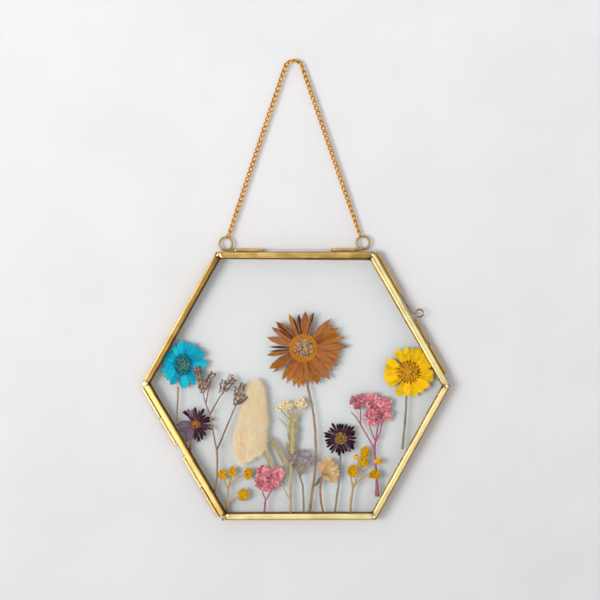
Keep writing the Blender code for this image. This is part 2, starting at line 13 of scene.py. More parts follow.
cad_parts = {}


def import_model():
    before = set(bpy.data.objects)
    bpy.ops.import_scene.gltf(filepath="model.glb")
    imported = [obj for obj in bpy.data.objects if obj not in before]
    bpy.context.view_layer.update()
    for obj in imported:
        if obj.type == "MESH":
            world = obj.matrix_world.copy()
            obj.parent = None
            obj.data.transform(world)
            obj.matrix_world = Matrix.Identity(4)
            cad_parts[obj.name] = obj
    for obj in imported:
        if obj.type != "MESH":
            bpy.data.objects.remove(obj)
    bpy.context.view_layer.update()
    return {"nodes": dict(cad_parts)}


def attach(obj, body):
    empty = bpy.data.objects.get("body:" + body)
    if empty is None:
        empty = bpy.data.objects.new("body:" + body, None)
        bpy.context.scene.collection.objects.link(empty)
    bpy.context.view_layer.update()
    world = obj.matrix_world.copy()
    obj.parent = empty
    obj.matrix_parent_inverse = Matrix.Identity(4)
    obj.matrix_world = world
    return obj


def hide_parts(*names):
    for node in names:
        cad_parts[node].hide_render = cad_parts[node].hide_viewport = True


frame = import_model()

MM = 0.001
HANGER_DEPTH = 2.15
MIDDLE = Vector((1.6, -HANGER_DEPTH, -171.3))
BACK = "back_half"
FRONT = "front_half"
BOLT = "bolt"
TRAITS = "traits"

FRONT_CORNERS = [(-42.6, 70.8), (41.1, 70.9), (81.3, 0.0), (42.1, -70.7), (-39.3, -70.9), (-81.8, 1.3)]
BACK_CORNERS = [FRONT_CORNERS[0], (41.1, 70.0), *FRONT_CORNERS[2:]]
SIDES = ["top", "upper_right", "lower_right", "bottom", "lower_left", "upper_left"]
UPPER_RIGHT = 1
LOWER_LEFT = 4
TUBE_OFFSET = 1.25


def world(u, v, d):
    return (Vector((u, d, v)) + MIDDLE) * MM


def new_object(name, data):
    made = bpy.data.objects.new(name, data)
    bpy.context.scene.collection.objects.link(made)
    return made


# --- camera ---------------------------------------------------------------------------------------------

CAMERA_AWAY = 1250.0
SEEN_WIDTH = 318.0
SENSOR = 36.0
CAMERA_AIM = (1.8, 45.4)

camera_data = bpy.data.cameras.new("camera")
camera_data.sensor_width = SENSOR
camera_data.lens = SENSOR * CAMERA_AWAY / SEEN_WIDTH
camera = new_object("camera", camera_data)
camera.location = world(*CAMERA_AIM, -CAMERA_AWAY)
camera.rotation_euler = (math.radians(90), 0, 0)
bpy.context.scene.camera = camera


# --- meshes ---------------------------------------------------------------------------------------------


class Sheaf:
    """Points, faces and four traits per point, gathered into one mesh."""

    def __init__(self):
        self.points = []
        self.faces = []
        self.traits = []

    def point(self, u, v, d, traits):
        self.points.append((u, v, d))
        self.traits.append(traits)
        return len(self.points) - 1

    def grid(self, rows, closed=False):
        for first, second in zip(rows, rows[1:]):
            count = len(first)
            for k in range(count if closed else count - 1):
                j = (k + 1) % count
                self.faces.append((first[k], first[j], second[j], second[k]))

    def cap(self, row):
        self.faces.append(tuple(row))

    def make(self, name, material, body, *nodes):
        mesh = bpy.data.meshes.new(name)
        mesh.from_pydata([world(*point) for point in self.points], [], self.faces)
        attribute = mesh.color_attributes.new(TRAITS, "FLOAT_COLOR", "POINT")
        attribute.data.foreach_set("color", [value for traits in self.traits for value in traits])
        mesh.materials.append(material)
        mesh.shade_smooth()
        piece = new_object(name, mesh)
        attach(piece, body)
        if nodes:
            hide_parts(*nodes)
        return piece


def smooth_route(route, steps):
    """A Catmull-Rom line through a route, with so many steps between two of its points."""
    line = [Vector(point) for point in route]
    padded = [2 * line[0] - line[1], *line, 2 * line[-1] - line[-2]]
    found = []
    for index in range(len(line) - 1):
        a, b, c, d = padded[index : index + 4]
        for k in range(steps):
            t = k / steps
            place = 2 * b + (c - a) * t
            place += (2 * a - 5 * b + 4 * c - d) * t**2
            place += (3 * b - 3 * c + d - a) * t**3
            found.append(0.5 * place)
    found.append(line[-1])
    return found


def distances(line):
    """How far along the line each of its points is."""
    run = [0.0]
    for a, b in zip(line, line[1:]):
        run.append(run[-1] + (b - a).length)
    return run


def heading(line, k):
    return (line[min(k + 1, len(line) - 1)] - line[max(k - 1, 0)]).normalized()


def around(centre, reach, turn):
    return (centre[0] + reach * math.cos(turn), centre[1] + reach * math.sin(turn))


def shape_at(shape, t):
    """The value at t of a shape given as (t, value) pairs, eased between them."""
    for (t0, a), (t1, b) in zip(shape, shape[1:]):
        if t <= t1:
            share = (t - t0) / (t1 - t0)
            share = share * share * (3 - 2 * share)
            return a + (b - a) * share
    return shape[-1][1]


def tube(sheaf, line, radii, traits, sides=10, flatten=1.0, bore=None, ripple=None):
    """A round or flattened tube along (u, v, d) points. ripple(along, turn) adds to its radius."""
    line = [Vector(point) for point in line]
    run = distances(line)
    rows = []
    inner = []
    for k, place in enumerate(line):
        ahead = heading(line, k)
        aside = ahead.cross(Vector((0, 0, 1)))
        aside = aside.normalized() if aside.length > 1e-3 else Vector((1, 0, 0))
        deep = aside.cross(ahead)
        radius = radii[k] if isinstance(radii, list) else radii
        row = []
        hole = []
        for j in range(sides):
            turn = 2 * math.pi * j / sides
            extra = ripple(run[k], turn) if ripple else 0.0
            out = aside * math.cos(turn) + deep * (math.sin(turn) * flatten)
            spot = (run[k] / run[-1], j / sides, traits[0], traits[1])
            row.append(sheaf.point(*(place + out * (radius + extra)), spot))
            if bore:
                hole.append(sheaf.point(*(place + out * bore), spot[:3] + (1.0,)))
        rows.append(row)
        inner.append(hole)
    sheaf.grid(rows, closed=True)
    if bore:
        sheaf.grid([row[::-1] for row in inner], closed=True)
        sheaf.grid([inner[0], rows[0]], closed=True)
        sheaf.grid([rows[-1], inner[-1]], closed=True)
    else:
        sheaf.cap(rows[0][::-1])
        sheaf.cap(rows[-1])


def lump(sheaf, u, v, d, half_u, half_v, half_d, traits, rng, rough=0.15, turn_deg=0.0, rows=7, sides=12):
    """An uneven rounded lump."""
    turn = math.radians(turn_deg)
    seed = rng.random() * 100
    made = []
    for k in range(rows + 1):
        polar = math.pi * k / rows
        row = []
        for j in range(sides):
            turned = 2 * math.pi * j / sides
            way = Vector(
                (math.sin(polar) * math.cos(turned), math.sin(polar) * math.sin(turned), -math.cos(polar))
            )
            size = 1 + rough * noise.noise(way * 1.7 + Vector((seed, 0, 0))) * 2
            x, y, z = way.x * half_u * size, way.y * half_v * size, way.z * half_d * size
            x, y = x * math.cos(turn) - y * math.sin(turn), x * math.sin(turn) + y * math.cos(turn)
            # The first trait is 1 at the front and 0 at the back; the floret materials paint shade with it.
            row.append(sheaf.point(u + x, v + y, d + z, (1 - k / rows, j / sides, *traits)))
        made.append(row)
    sheaf.grid(made, closed=True)


# --- materials ------------------------------------------------------------------------------------------


class Shader:
    """A Principled material and short ways to wire its nodes."""

    def __init__(self, name, roughness=0.7, metallic=0.0, specular=0.3):
        self.material = bpy.data.materials.new(name)
        self.material.use_nodes = True
        self.nodes = self.material.node_tree.nodes
        self.links = self.material.node_tree.links
        self.main = self.nodes["Principled BSDF"]
        self.main.inputs["Roughness"].default_value = roughness
        self.main.inputs["Metallic"].default_value = metallic
        self.main.inputs["Specular IOR Level"].default_value = specular

    def link(self, value, socket):
        if isinstance(value, bpy.types.NodeSocket):
            self.links.new(value, socket)
        elif hasattr(value, "__len__") and len(value) == 3 and len(socket.default_value) == 4:
            socket.default_value = (*value, 1.0)
        else:
            socket.default_value = value

    def maths(self, operation, a, b=0.0):
        node = self.nodes.new("ShaderNodeMath")
        node.operation = operation
        self.link(a, node.inputs[0])
        self.link(b, node.inputs[1])
        return node.outputs[0]

    def times(self, a, b):
        return self.maths("MULTIPLY", a, b)

    def spread(self, value, low, high, to_low=0.0, to_high=1.0):
        node = self.nodes.new("ShaderNodeMapRange")
        node.interpolation_type = "SMOOTHSTEP"
        self.link(value, node.inputs["Value"])
        for socket, number in zip(
            ("From Min", "From Max", "To Min", "To Max"), (low, high, to_low, to_high)
        ):
            node.inputs[socket].default_value = number
        return node.outputs["Result"]

    def mix(self, share, a, b, blend="MIX"):
        node = self.nodes.new("ShaderNodeMix")
        node.data_type = "RGBA"
        node.blend_type = blend
        self.link(share, node.inputs["Factor"])
        self.link(a, node.inputs["A"])
        self.link(b, node.inputs["B"])
        return node.outputs["Result"]

    def shaded(self, colour, tone):
        """The colour, multiplied by a tone."""
        return self.mix(1.0, colour, self.vector(tone, tone, tone), "MULTIPLY")

    def ramp(self, value, stops):
        node = self.nodes.new("ShaderNodeValToRGB")
        ramp = node.color_ramp
        while len(ramp.elements) < len(stops):
            ramp.elements.new(0.5)
        for element, (place, colour) in zip(ramp.elements, stops):
            element.position = place
            element.color = (*colour, 1.0)
        self.link(value, node.inputs["Fac"])
        return node.outputs["Color"]

    def traits(self):
        """The four traits of a point: along, across, chance and wear; brass reads the last two as polish
        with painted light and dirt with painted shade.
        """
        node = self.nodes.new("ShaderNodeAttribute")
        node.attribute_name = TRAITS
        parts = self.nodes.new("ShaderNodeSeparateColor")
        self.links.new(node.outputs["Color"], parts.inputs["Color"])
        return (*parts.outputs[:3], node.outputs["Alpha"])

    def vector(self, x, y, z=0.0):
        node = self.nodes.new("ShaderNodeCombineXYZ")
        for socket, value in zip(node.inputs, (x, y, z)):
            self.link(value, socket)
        return node.outputs[0]

    def grain(self, per_mm, detail=3.0, where=None):
        """Noise from 0 to 1, of so many lumps to the millimetre, or over a vector of its own."""
        node = self.nodes.new("ShaderNodeTexNoise")
        node.inputs["Detail"].default_value = detail
        if where is None:
            place = self.nodes.new("ShaderNodeTexCoord").outputs["Object"]
            node.inputs["Scale"].default_value = per_mm / MM
        else:
            place = where
            node.inputs["Scale"].default_value = per_mm
        self.links.new(place, node.inputs["Vector"])
        return node.outputs["Fac"]

    def lines(self, detail, *places):
        """Noise drawn out by the scale given with each of its two or three values."""
        return self.grain(1.0, detail, self.vector(*[self.times(value, scale) for value, scale in places]))

    def stretched(self, across_per_mm, up_per_mm):
        """Places whose noise is drawn out upwards."""
        node = self.nodes.new("ShaderNodeMapping")
        node.inputs["Scale"].default_value = (across_per_mm / MM, across_per_mm / MM, up_per_mm / MM)
        self.links.new(self.nodes.new("ShaderNodeTexCoord").outputs["Object"], node.inputs["Vector"])
        return node.outputs["Vector"]

    def bump(self, height, distance_mm, strength=1.0):
        node = self.nodes.new("ShaderNodeBump")
        node.inputs["Distance"].default_value = distance_mm * MM
        node.inputs["Strength"].default_value = strength
        self.links.new(height, node.inputs["Height"])
        self.links.new(node.outputs["Normal"], self.main.inputs["Normal"])

    def see_through(self, share, tint):
        """Makes a share of the surface clear with a tint, and gives back the material."""
        clear = self.nodes.new("ShaderNodeBsdfTransparent")
        clear.inputs["Color"].default_value = tint
        blend = self.nodes.new("ShaderNodeMixShader")
        self.links.new(share, blend.inputs["Fac"])
        self.links.new(self.main.outputs[0], blend.inputs[1])
        self.links.new(clear.outputs[0], blend.inputs[2])
        self.links.new(blend.outputs[0], self.nodes["Material Output"].inputs["Surface"])
        return self.material

    def done(self, colour):
        self.link(colour, self.main.inputs["Base Color"])
        return self.material


def brass_material(name, dark, middle, pale, roughness=0.36):
    """Brass whose polish, with painted highlights and shade, is trait 3, and whose dirt, with painted shade
    along edges, creases and hollows, is trait 4.
    """
    shader = Shader(name, roughness, metallic=1.0, specular=0.5)
    along, across, polish_and_painted_light, dirt_and_painted_shade = shader.traits()
    blotches = shader.grain(0.12, 4.0)
    lines = shader.lines(2.0, (along, 2.5), (across, 9.0), (polish_and_painted_light, 7.0))
    level = shader.maths("ADD", polish_and_painted_light, shader.spread(blotches, 0.3, 0.7, -0.10, 0.10))
    level = shader.maths("ADD", level, shader.spread(lines, 0.3, 0.7, -0.09, 0.09))
    colour = shader.ramp(level, [(0.0, dark), (0.5, middle), (1.0, pale)])
    # Trait 4 darkens towards dark brown: dirt, and painted shade along edges, creases and hollows.
    colour = shader.mix(shader.times(dirt_and_painted_shade, 0.85), colour, (0.13, 0.07, 0.03))
    shader.link(
        shader.spread(blotches, 0.3, 0.7, roughness - 0.05, roughness + 0.08),
        shader.main.inputs["Roughness"]
    )
    shader.bump(lines, 0.02, 0.5)
    return shader.done(colour)


def wire_material(name, colour, worn, roughness):
    shader = Shader(name, roughness, metallic=1.0, specular=0.5)
    share = shader.spread(shader.grain(0.6, 3.0), 0.38, 0.66)
    shader.bump(shader.grain(2.5, 2.0), 0.02, 0.4)
    return shader.done(shader.mix(share, colour, worn))


def petal_material(name, base, tip, edge, vein, streak=None, chance=0.3, veins=14.0):
    """A dried petal, shaded from root to tip, darker along its edges, veined along its length."""
    shader = Shader(name, 0.8, specular=0.05)
    along, across, lot, wear = shader.traits()
    colour = shader.mix(shader.spread(along, 0.15, 0.95), base, tip)
    if streak:
        colour = shader.mix(shader.spread(lot, 1.0 - chance, 1.0 - chance * 0.5), colour, streak)
    lines = shader.lines(2.0, (along, 1.6), (across, veins), (lot, 40.0))
    colour = shader.mix(shader.spread(lines, 0.52, 0.70, 0.0, 0.75), colour, vein)
    off_middle = shader.maths("ABSOLUTE", shader.maths("SUBTRACT", across, 0.5))
    colour = shader.mix(shader.spread(off_middle, 0.33, 0.5, 0.0, 0.75), colour, edge)
    blotches = shader.grain(0.5, 4.0)
    patches = shader.maths("ADD", shader.times(lot, 0.5), blotches)
    colour = shader.shaded(colour, shader.spread(patches, 0.4, 1.1, 0.72, 1.22))
    colour = shader.mix(wear, colour, shader.mix(1.0, colour, (0.35, 0.30, 0.30), "MULTIPLY"))
    shader.bump(lines, 0.12, 0.8)
    return shader.done(colour)


def speckled_material(name, stops, fleck, share, light=None):
    """Tiny florets, coloured by how far out they stand, with painted shade darkening their feet and backs,
    some of them flecks of another colour.
    """
    shader = Shader(name, 0.85, specular=0.06)
    along, _, lot, outness = shader.traits()
    # Painted shade: the first trait darkens each floret or lump towards its foot or back and lightens its
    # top.
    colour = shader.shaded(shader.ramp(outness, stops), shader.spread(along, 0.0, 1.0, 0.5, 1.15))
    if light:
        colour = shader.mix(shader.spread(lot, 0.0, share, 1.0, 0.0), colour, light)
    colour = shader.mix(shader.spread(lot, 1.0 - share, 1.0 - share * 0.8), colour, fleck)
    colour = shader.shaded(colour, shader.spread(shader.grain(0.8, 3.0), 0.25, 0.75, 0.75, 1.2))
    shader.bump(shader.grain(4.0, 2.0), 0.06, 0.6)
    return shader.done(colour)


def stem_material(name, colour, other, dark):
    shader = Shader(name, 0.8, specular=0.1)
    along, across, _, _ = shader.traits()
    tint = shader.mix(shader.spread(shader.grain(0.35, 4.0), 0.35, 0.65), colour, other)
    fibres = shader.lines(3.0, (along, 9.0), (across, 12.0))
    tint = shader.mix(shader.spread(fibres, 0.5, 0.72, 0.0, 0.7), tint, dark)
    shader.bump(fibres, 0.08, 0.7)
    return shader.done(tint)


# The share of light that passes the panes without being bent or mirrored.
GLASS_CLEARNESS = 0.7
GLASS_TINT = (0.996, 1.0, 0.997, 1.0)


def glass_material():
    """Clear glass with faint reflections, which lets lamps through to what it covers."""
    shader = Shader("pane_glass", 0.0, specular=0.12)
    shader.main.inputs["Base Color"].default_value = GLASS_TINT
    shader.main.inputs["Transmission Weight"].default_value = 1.0
    shader.main.inputs["IOR"].default_value = 1.45
    shader.main.inputs["Specular Tint"].default_value = (0.3, 0.3, 0.3, 1.0)
    path = shader.nodes.new("ShaderNodeLightPath")
    lit = shader.maths("MAXIMUM", path.outputs["Is Shadow Ray"], path.outputs["Is Diffuse Ray"])
    return shader.see_through(shader.maths("MAXIMUM", lit, GLASS_CLEARNESS), GLASS_TINT)


brass = brass_material("strip_brass", (0.16, 0.09, 0.025), (0.66, 0.42, 0.12), (1.0, 0.84, 0.42))
tube_brass = brass_material("tube_brass", (0.36, 0.20, 0.06), (0.80, 0.52, 0.20), (1.0, 0.88, 0.55), 0.40)
solder = brass_material("solder", (0.36, 0.26, 0.10), (0.80, 0.60, 0.28), (0.95, 0.82, 0.50), 0.42)
wire = wire_material("ring_wire", (0.52, 0.36, 0.15), (0.38, 0.26, 0.11), 0.45)
# Darker than the ring wire: partly the wire's own tarnish, partly painted shade where it lies along the
# strip.
bolt_wire = wire_material("bolt_wire", (0.42, 0.29, 0.15), (0.22, 0.14, 0.07), 0.32)
chain_gold = wire_material("chain_gold", (0.80, 0.42, 0.03), (0.62, 0.26, 0.012), 0.30)
glass = glass_material()


# --- brass strips ---------------------------------------------------------------------------------------

FACE_WIDTH = 3.6
LIP_WIDTH = 1.5
BRASS = 0.5
NEAR = 0.15
FAR = 4.15
STRIP_STEPS = 44
MITRE_GAP = 0.05
# How polished the front strips look, with painted highlights and shade: outer, middle and inner bands of
# each.
POLISH_AND_PAINTED_LIGHT = {
    "top": [0.62, 0.48, 0.42], "upper_right": [0.75, 1.0, 0.9], "lower_right": [0.25, 0.9, 1.0],
    "bottom": [0.6, 0.95, 0.95], "lower_left": [0.75, 0.62, 0.1], "upper_left": [0.80, 0.04, 0.02]
}
# The back strips' bands: polish with painted highlights.
BACK_POLISH_AND_PAINTED_LIGHT = [0.5, 0.6, 0.5]
CROWN = 0.05
# The folded strip's section: inset, depth, share across the face or -1, and dirt with painted shade,
# darkest at its edges, in its crease and inside the fold. Its face has a crease.
STRIP_PROFILE = [
    (LIP_WIDTH, NEAR + 0.06, -1, 0.5), (LIP_WIDTH - 0.1, NEAR, -1, 0.3), (0.30, NEAR, -1, 0.1),
    (0.09, NEAR + 0.09, -1, 0.1), (0.0, NEAR + 0.30, -1, 0.1), (0.0, FAR - 0.45, -1, 0.3),
    (0.10, FAR - 0.18, 0.0, 0.45), (0.28, FAR - 0.03, 0.05, 0.05), (0.80, FAR + CROWN, 0.2, 0.0),
    (1.15, FAR + CROWN, 0.32, 0.0), (1.30, FAR + 0.2 * CROWN, 0.38, 0.28), (1.45, FAR + CROWN, 0.42, 0.0),
    (2.70, FAR + 0.6 * CROWN, 0.8, 0.0), (3.10, FAR + 0.1, 0.88, 0.1), (3.25, FAR - 0.08, 0.94, 0.75),
    (FACE_WIDTH, FAR - 0.24, 1.0, 1.0), (FACE_WIDTH - 0.03, FAR - BRASS + 0.05, 1.0, 1.0),
    (FACE_WIDTH - 0.2, FAR - BRASS, -1, 1.0), (0.6, FAR - BRASS, -1, 0.8), (BRASS, FAR - 0.6, -1, 0.8),
    (BRASS, NEAR + 0.6, -1, 0.8), (0.6, NEAR + BRASS, -1, 0.8), (LIP_WIDTH - 0.06, NEAR + BRASS, -1, 0.6),
    (LIP_WIDTH, NEAR + BRASS - 0.06, -1, 0.6)
]
SOLDER_SIZES = [0.7, 0.6, 0.8, 0.7, 1.3, 1.4]


def side_of(corners, index):
    start = Vector(corners[index])
    end = Vector(corners[(index + 1) % len(corners)])
    along = (end - start).normalized()
    return start, end, along, Vector((along.y, -along.x))


def inset_corner(corners, index, inset):
    before = side_of(corners, (index - 1) % len(corners))[3]
    after = side_of(corners, index % len(corners))[3]
    return Vector(corners[index % len(corners)]) + (before + after) * (inset / (1 + before.dot(after)))


def on_side(index, along_side, out, depth=0.0):
    start, _, along, inward = side_of(FRONT_CORNERS, index)
    place = start + along * along_side - inward * out
    return (place.x, place.y, depth)


def add_strip(name, corners, index, outward, polish_and_painted_light, body):
    """One mitred U strip, wavy as folded by hand. Its polish values, with painted highlights and shade, are
    for its outer, middle and inner bands.
    """
    sheaf = Sheaf()
    along = side_of(corners, index)[2]
    outer, middle, inner = polish_and_painted_light
    # The bands paint highlights and shade across the face, on top of the brass's polish.
    bands = [(0.0, outer), (0.1, outer), (0.3, middle), (0.42, middle), (0.8, inner)]
    rows = []
    for step in range(STRIP_STEPS + 1):
        t = step / STRIP_STEPS
        row = []
        for inset, depth, share, dirt_and_painted_shade in STRIP_PROFILE:
            wave = noise.noise(Vector((t * 7.0, index * 3.1, outward))) if 0 < step < STRIP_STEPS else 0.0
            if share > 0.9:
                inset += 0.12 * wave
            if 0.1 < share < 0.9:
                depth += 0.05 * wave
            start = inset_corner(corners, index, inset) + along * MITRE_GAP
            end = inset_corner(corners, index + 1, inset) - along * MITRE_GAP
            place = start.lerp(end, t)
            near_end = max(0.0, 1.0 - min(t, 1 - t) * 30.0)
            # The strip's dirt with painted shade, and more near its joined ends.
            grime_and_painted_shade = min(1.0, dirt_and_painted_shade + 0.35 * near_end)
            band_polish_and_light = shape_at(bands, max(share, 0.0))
            row.append(sheaf.point(place.x, place.y, depth * outward, (t, max(share, 0.0), band_polish_and_light, grime_and_painted_shade)))
        rows.append(row)
    sheaf.grid(rows, closed=True)
    sheaf.cap(rows[0][::-1])
    sheaf.cap(rows[-1])
    if outward < 0:
        sheaf.faces = [face[::-1] for face in sheaf.faces]
    sheaf.make(name, brass, body, name)


def add_solder(name, body, depth_sign, rng):
    """Beads where the strips are joined at the corners. The left and bottom left ones are large."""
    sheaf = Sheaf()
    corners = FRONT_CORNERS if depth_sign < 0 else BACK_CORNERS
    for index, size in enumerate(SOLDER_SIZES):
        place = inset_corner(corners, index, 1.5)
        # Painted highlight: the beads are pale and bright, and the bottom left one is darker.
        polish_and_painted_light = 0.25 if index == LOWER_LEFT else 0.9
        large = size > 1.2
        lump(
            sheaf, place.x, place.y, (FAR - 0.05) * depth_sign, size, size * 1.35, 0.42 if large else 0.22,
            (polish_and_painted_light, 0.0), rng, 0.3, turn_deg=20 * index, rows=10, sides=16
        )
        if large:
            outer = inset_corner(corners, index, 0.75)
            lump(sheaf, outer.x, outer.y, 2.6 * depth_sign, 0.6, 1.0, 1.3, (polish_and_painted_light, 0.1), rng, 0.35)
    sheaf.make(name, solder, body)


def add_metalwork():
    rng = random.Random(4)
    for side, name in enumerate(SIDES):
        add_strip(f"front_rail_{name}", FRONT_CORNERS, side, -1, POLISH_AND_PAINTED_LIGHT[name], FRONT)
        add_strip(f"back_rail_{name}", BACK_CORNERS, side, 1, BACK_POLISH_AND_PAINTED_LIGHT, BACK)
    add_solder("front_solder", FRONT, -1, rng)
    add_solder("back_solder", BACK, 1, rng)


# --- hinge and latch ------------------------------------------------------------------------------------

TUBE_RADIUS = 0.95
TUBE_BORE = 0.66
# How far apart and how deep the tubes' rolled grooves are.
HINGE_GROOVES = (0.62, 0.045)
LATCH_GROOVES = (0.9, 0.015)
BOLT_RADIUS = 0.375
PIN_RADIUS = 0.35
# Each tube's body, its start and end along the side, and its polish with painted highlights.
KNUCKLES = {
    "hinge_knuckle_back_lower": (BACK, 2.5, 19.9, 0.75),
    "hinge_knuckle_front_lower": (FRONT, 20.3, 39.1, 0.85),
    "hinge_knuckle_front_upper": (FRONT, 46.2, 63.0, 0.8),
    "hinge_knuckle_back_upper": (BACK, 63.4, 81.0, 0.9)
}
# The latch tubes' polish is lower: painted shade.
LATCH_TUBES = {
    "latch_guide_upper": (FRONT, 0.8, 26.3, 0.50), "latch_guide_lower": (FRONT, 43.0, 55.9, 0.42),
    "latch_keeper": (BACK, 57.4, 74.7, 0.45)
}


def add_side_tubes(side, tubes, groove_mm, groove_depth, rng):
    """Rolled brass tubes along one side, with solder tacks to their own half."""

    def ripple(run, turn):
        return groove_depth * math.sin(2 * math.pi * run / groove_mm + turn) - 0.02

    for name, (body, start, end, polish_and_painted_light) in tubes.items():
        sheaf = Sheaf()
        count = int((end - start) / 0.22)
        line = [on_side(side, start + (end - start) * k / count, TUBE_OFFSET) for k in range(count + 1)]

        tube(sheaf, line, TUBE_RADIUS, (polish_and_painted_light, 0.15), sides=20, bore=TUBE_BORE, ripple=ripple)
        sheaf.make(name, tube_brass, body, name)
        tacks = Sheaf()
        sign = -1 if body == FRONT else 1
        # The seam bead is darker: painted shade in the gap between the tube and the strip.
        seam = [on_side(side, start + (end - start) * k / 24, 0.22, sign * 0.42) for k in range(25)]
        bead = [0.36 + 0.1 * noise.noise(Vector((k * 0.6, start, 0))) for k in range(25)]
        tube(tacks, seam, bead, (polish_and_painted_light * 0.6, 0.35), sides=8, flatten=0.9)
        for share in (0.04, 0.5, 0.96):
            place = on_side(side, start + (end - start) * share, 0.45, sign * 0.75)
            lump(
                tacks, *place, 0.62, 1.2, 0.5, (polish_and_painted_light * 0.8, 0.2), rng, 0.3,
                turn_deg=30 if side == LOWER_LEFT else -30
            )
        tacks.make(f"{name}_solder", solder, body)


def add_wire(name, route, radius, steps, material, body, *nodes):
    """A bent wire through a route of (u, v, d) points."""
    curve = bpy.data.curves.new(name, "CURVE")
    curve.dimensions = "3D"
    curve.bevel_depth = radius * MM
    curve.bevel_resolution = 4
    curve.use_fill_caps = True
    line = smooth_route(route, steps)
    spline = curve.splines.new("POLY")
    spline.points.add(len(line) - 1)
    for slot, place in zip(spline.points, line):
        slot.co = (*world(*place), 1.0)
    curve.materials.append(material)
    piece = new_object(name, curve)
    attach(piece, body)
    if nodes:
        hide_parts(*nodes)


BOLT_EYE = (40.1, 4.9)
BOLT_EYE_RADIUS = 2.0


def arc(centre, radius, first_deg, last_deg, count):
    turns = [math.radians(first_deg + (last_deg - first_deg) * k / count) for k in range(count + 1)]
    return [around(centre, radius, turn) for turn in turns]


def add_bolt():
    straight = [
        (9.0, TUBE_OFFSET), (24.0, TUBE_OFFSET), (36.4, TUBE_OFFSET), (37.5, 1.35), (38.4, 1.75),
        (38.95, 2.45)
    ]
    eye = arc(BOLT_EYE, BOLT_EYE_RADIUS, -118, -422, 16)
    onward = [
        (41.25, 2.45), (41.6, 1.8), (42.1, 1.38), (43.0, TUBE_OFFSET), (54.0, TUBE_OFFSET),
        (64.0, TUBE_OFFSET)
    ]
    route = [on_side(UPPER_RIGHT, along, out) for along, out in straight + eye + onward]
    add_wire("latch_bolt", route, BOLT_RADIUS, 5, bolt_wire, BOLT, "latch_bolt")


def add_pins():
    for name, (start, end) in {"hinge_pin_lower": (3.0, 38.6), "hinge_pin_upper": (46.7, 80.5)}.items():
        route = [on_side(LOWER_LEFT, start + (end - start) * k / 3, TUBE_OFFSET) for k in range(4)]
        add_wire(name, route, PIN_RADIUS, 3, wire, BACK, name)


# --- rings and chain ------------------------------------------------------------------------------------

RING_RADIUS = 3.4
RING_WIRE_RADIUS = 0.58
SLEEVE_GIRTHS = [(0.0, 0.66), (0.08, 0.80), (0.8, 0.80), (1.0, 0.67)]
# Each ring's middle, then the end of its tail.
HANGERS = {"hanger_ring_left": (-37.6, 75.25, -17.3, 71.85), "hanger_ring_right": (35.2, 75.8, 18.2, 72.0)}
CHAIN_ROUTE = [
    (-34.9, -92.9), (-28.8, -74.6), (-22.6, -56.1), (-16.6, -38.1), (-10.6, -20.2), (-7.0, -9.5),
    (-5.2, -4.3), (-4.1, -1.2), (-2.4, 0.5), (0.0, 1.1), (2.4, 0.5), (4.1, -1.2), (5.2, -4.2), (7.1, -9.6),
    (10.8, -20.2), (16.9, -38.0), (23.0, -55.8), (29.3, -74.2), (35.5, -92.3)
]
LINK_PITCH = 2.8
LINK_HALF_LENGTH = 1.95
LINK_HALF_WIDTH = 0.88
LINK_WIRE = 0.39
LINK_TWIST_DEG = 50
LINK_ROLL_DEG = 60
LINK_STEPS = 18
LINK_SIDES = 7
LINK_JITTER_DEG = 9


def add_hangers():
    """Each eye is bent from the end of a wire, whose tail lies soldered along the top in a sleeve."""
    for name, (ring_u, ring_v, tail_u, tail_v) in HANGERS.items():
        inward = 1 if tail_u > ring_u else -1
        ring = [(ring_u + inward * u, ring_v + v) for u, v in arc((0, 0), RING_RADIUS, -78, -432, 28)]
        foot = ring_u + inward * RING_RADIUS * 0.85
        tail = [(tail_u, tail_v), ((tail_u + foot) / 2, tail_v + 0.06), (foot, tail_v)]
        route = [(u, v, HANGER_DEPTH) for u, v in tail + ring]
        add_wire(name, route, RING_WIRE_RADIUS, 4, wire, BACK, name)
        sheaf = Sheaf()
        start = ring_u + inward * 4.4
        end = tail_u - inward * 0.6
        line = [(start + (end - start) * k / 60, tail_v + 0.02, HANGER_DEPTH) for k in range(61)]
        girths = [shape_at(SLEEVE_GIRTHS, k / 60) for k in range(61)]
        tube(sheaf, line, girths, (0.55, 0.0), sides=16, bore=0.64)
        sheaf.make(f"{name}_sleeve", tube_brass, BACK)
        beads = Sheaf()
        rng = random.Random(int(abs(ring_u)))
        for share in (0.06, 0.55, 0.95):
            lump(
                beads, start + (end - start) * share, tail_v - 0.75, HANGER_DEPTH, 1.1, 0.4, 0.9,
                (0.5, 0.3), rng, 0.3
            )
        beads.make(f"{name}_solder", solder, BACK)


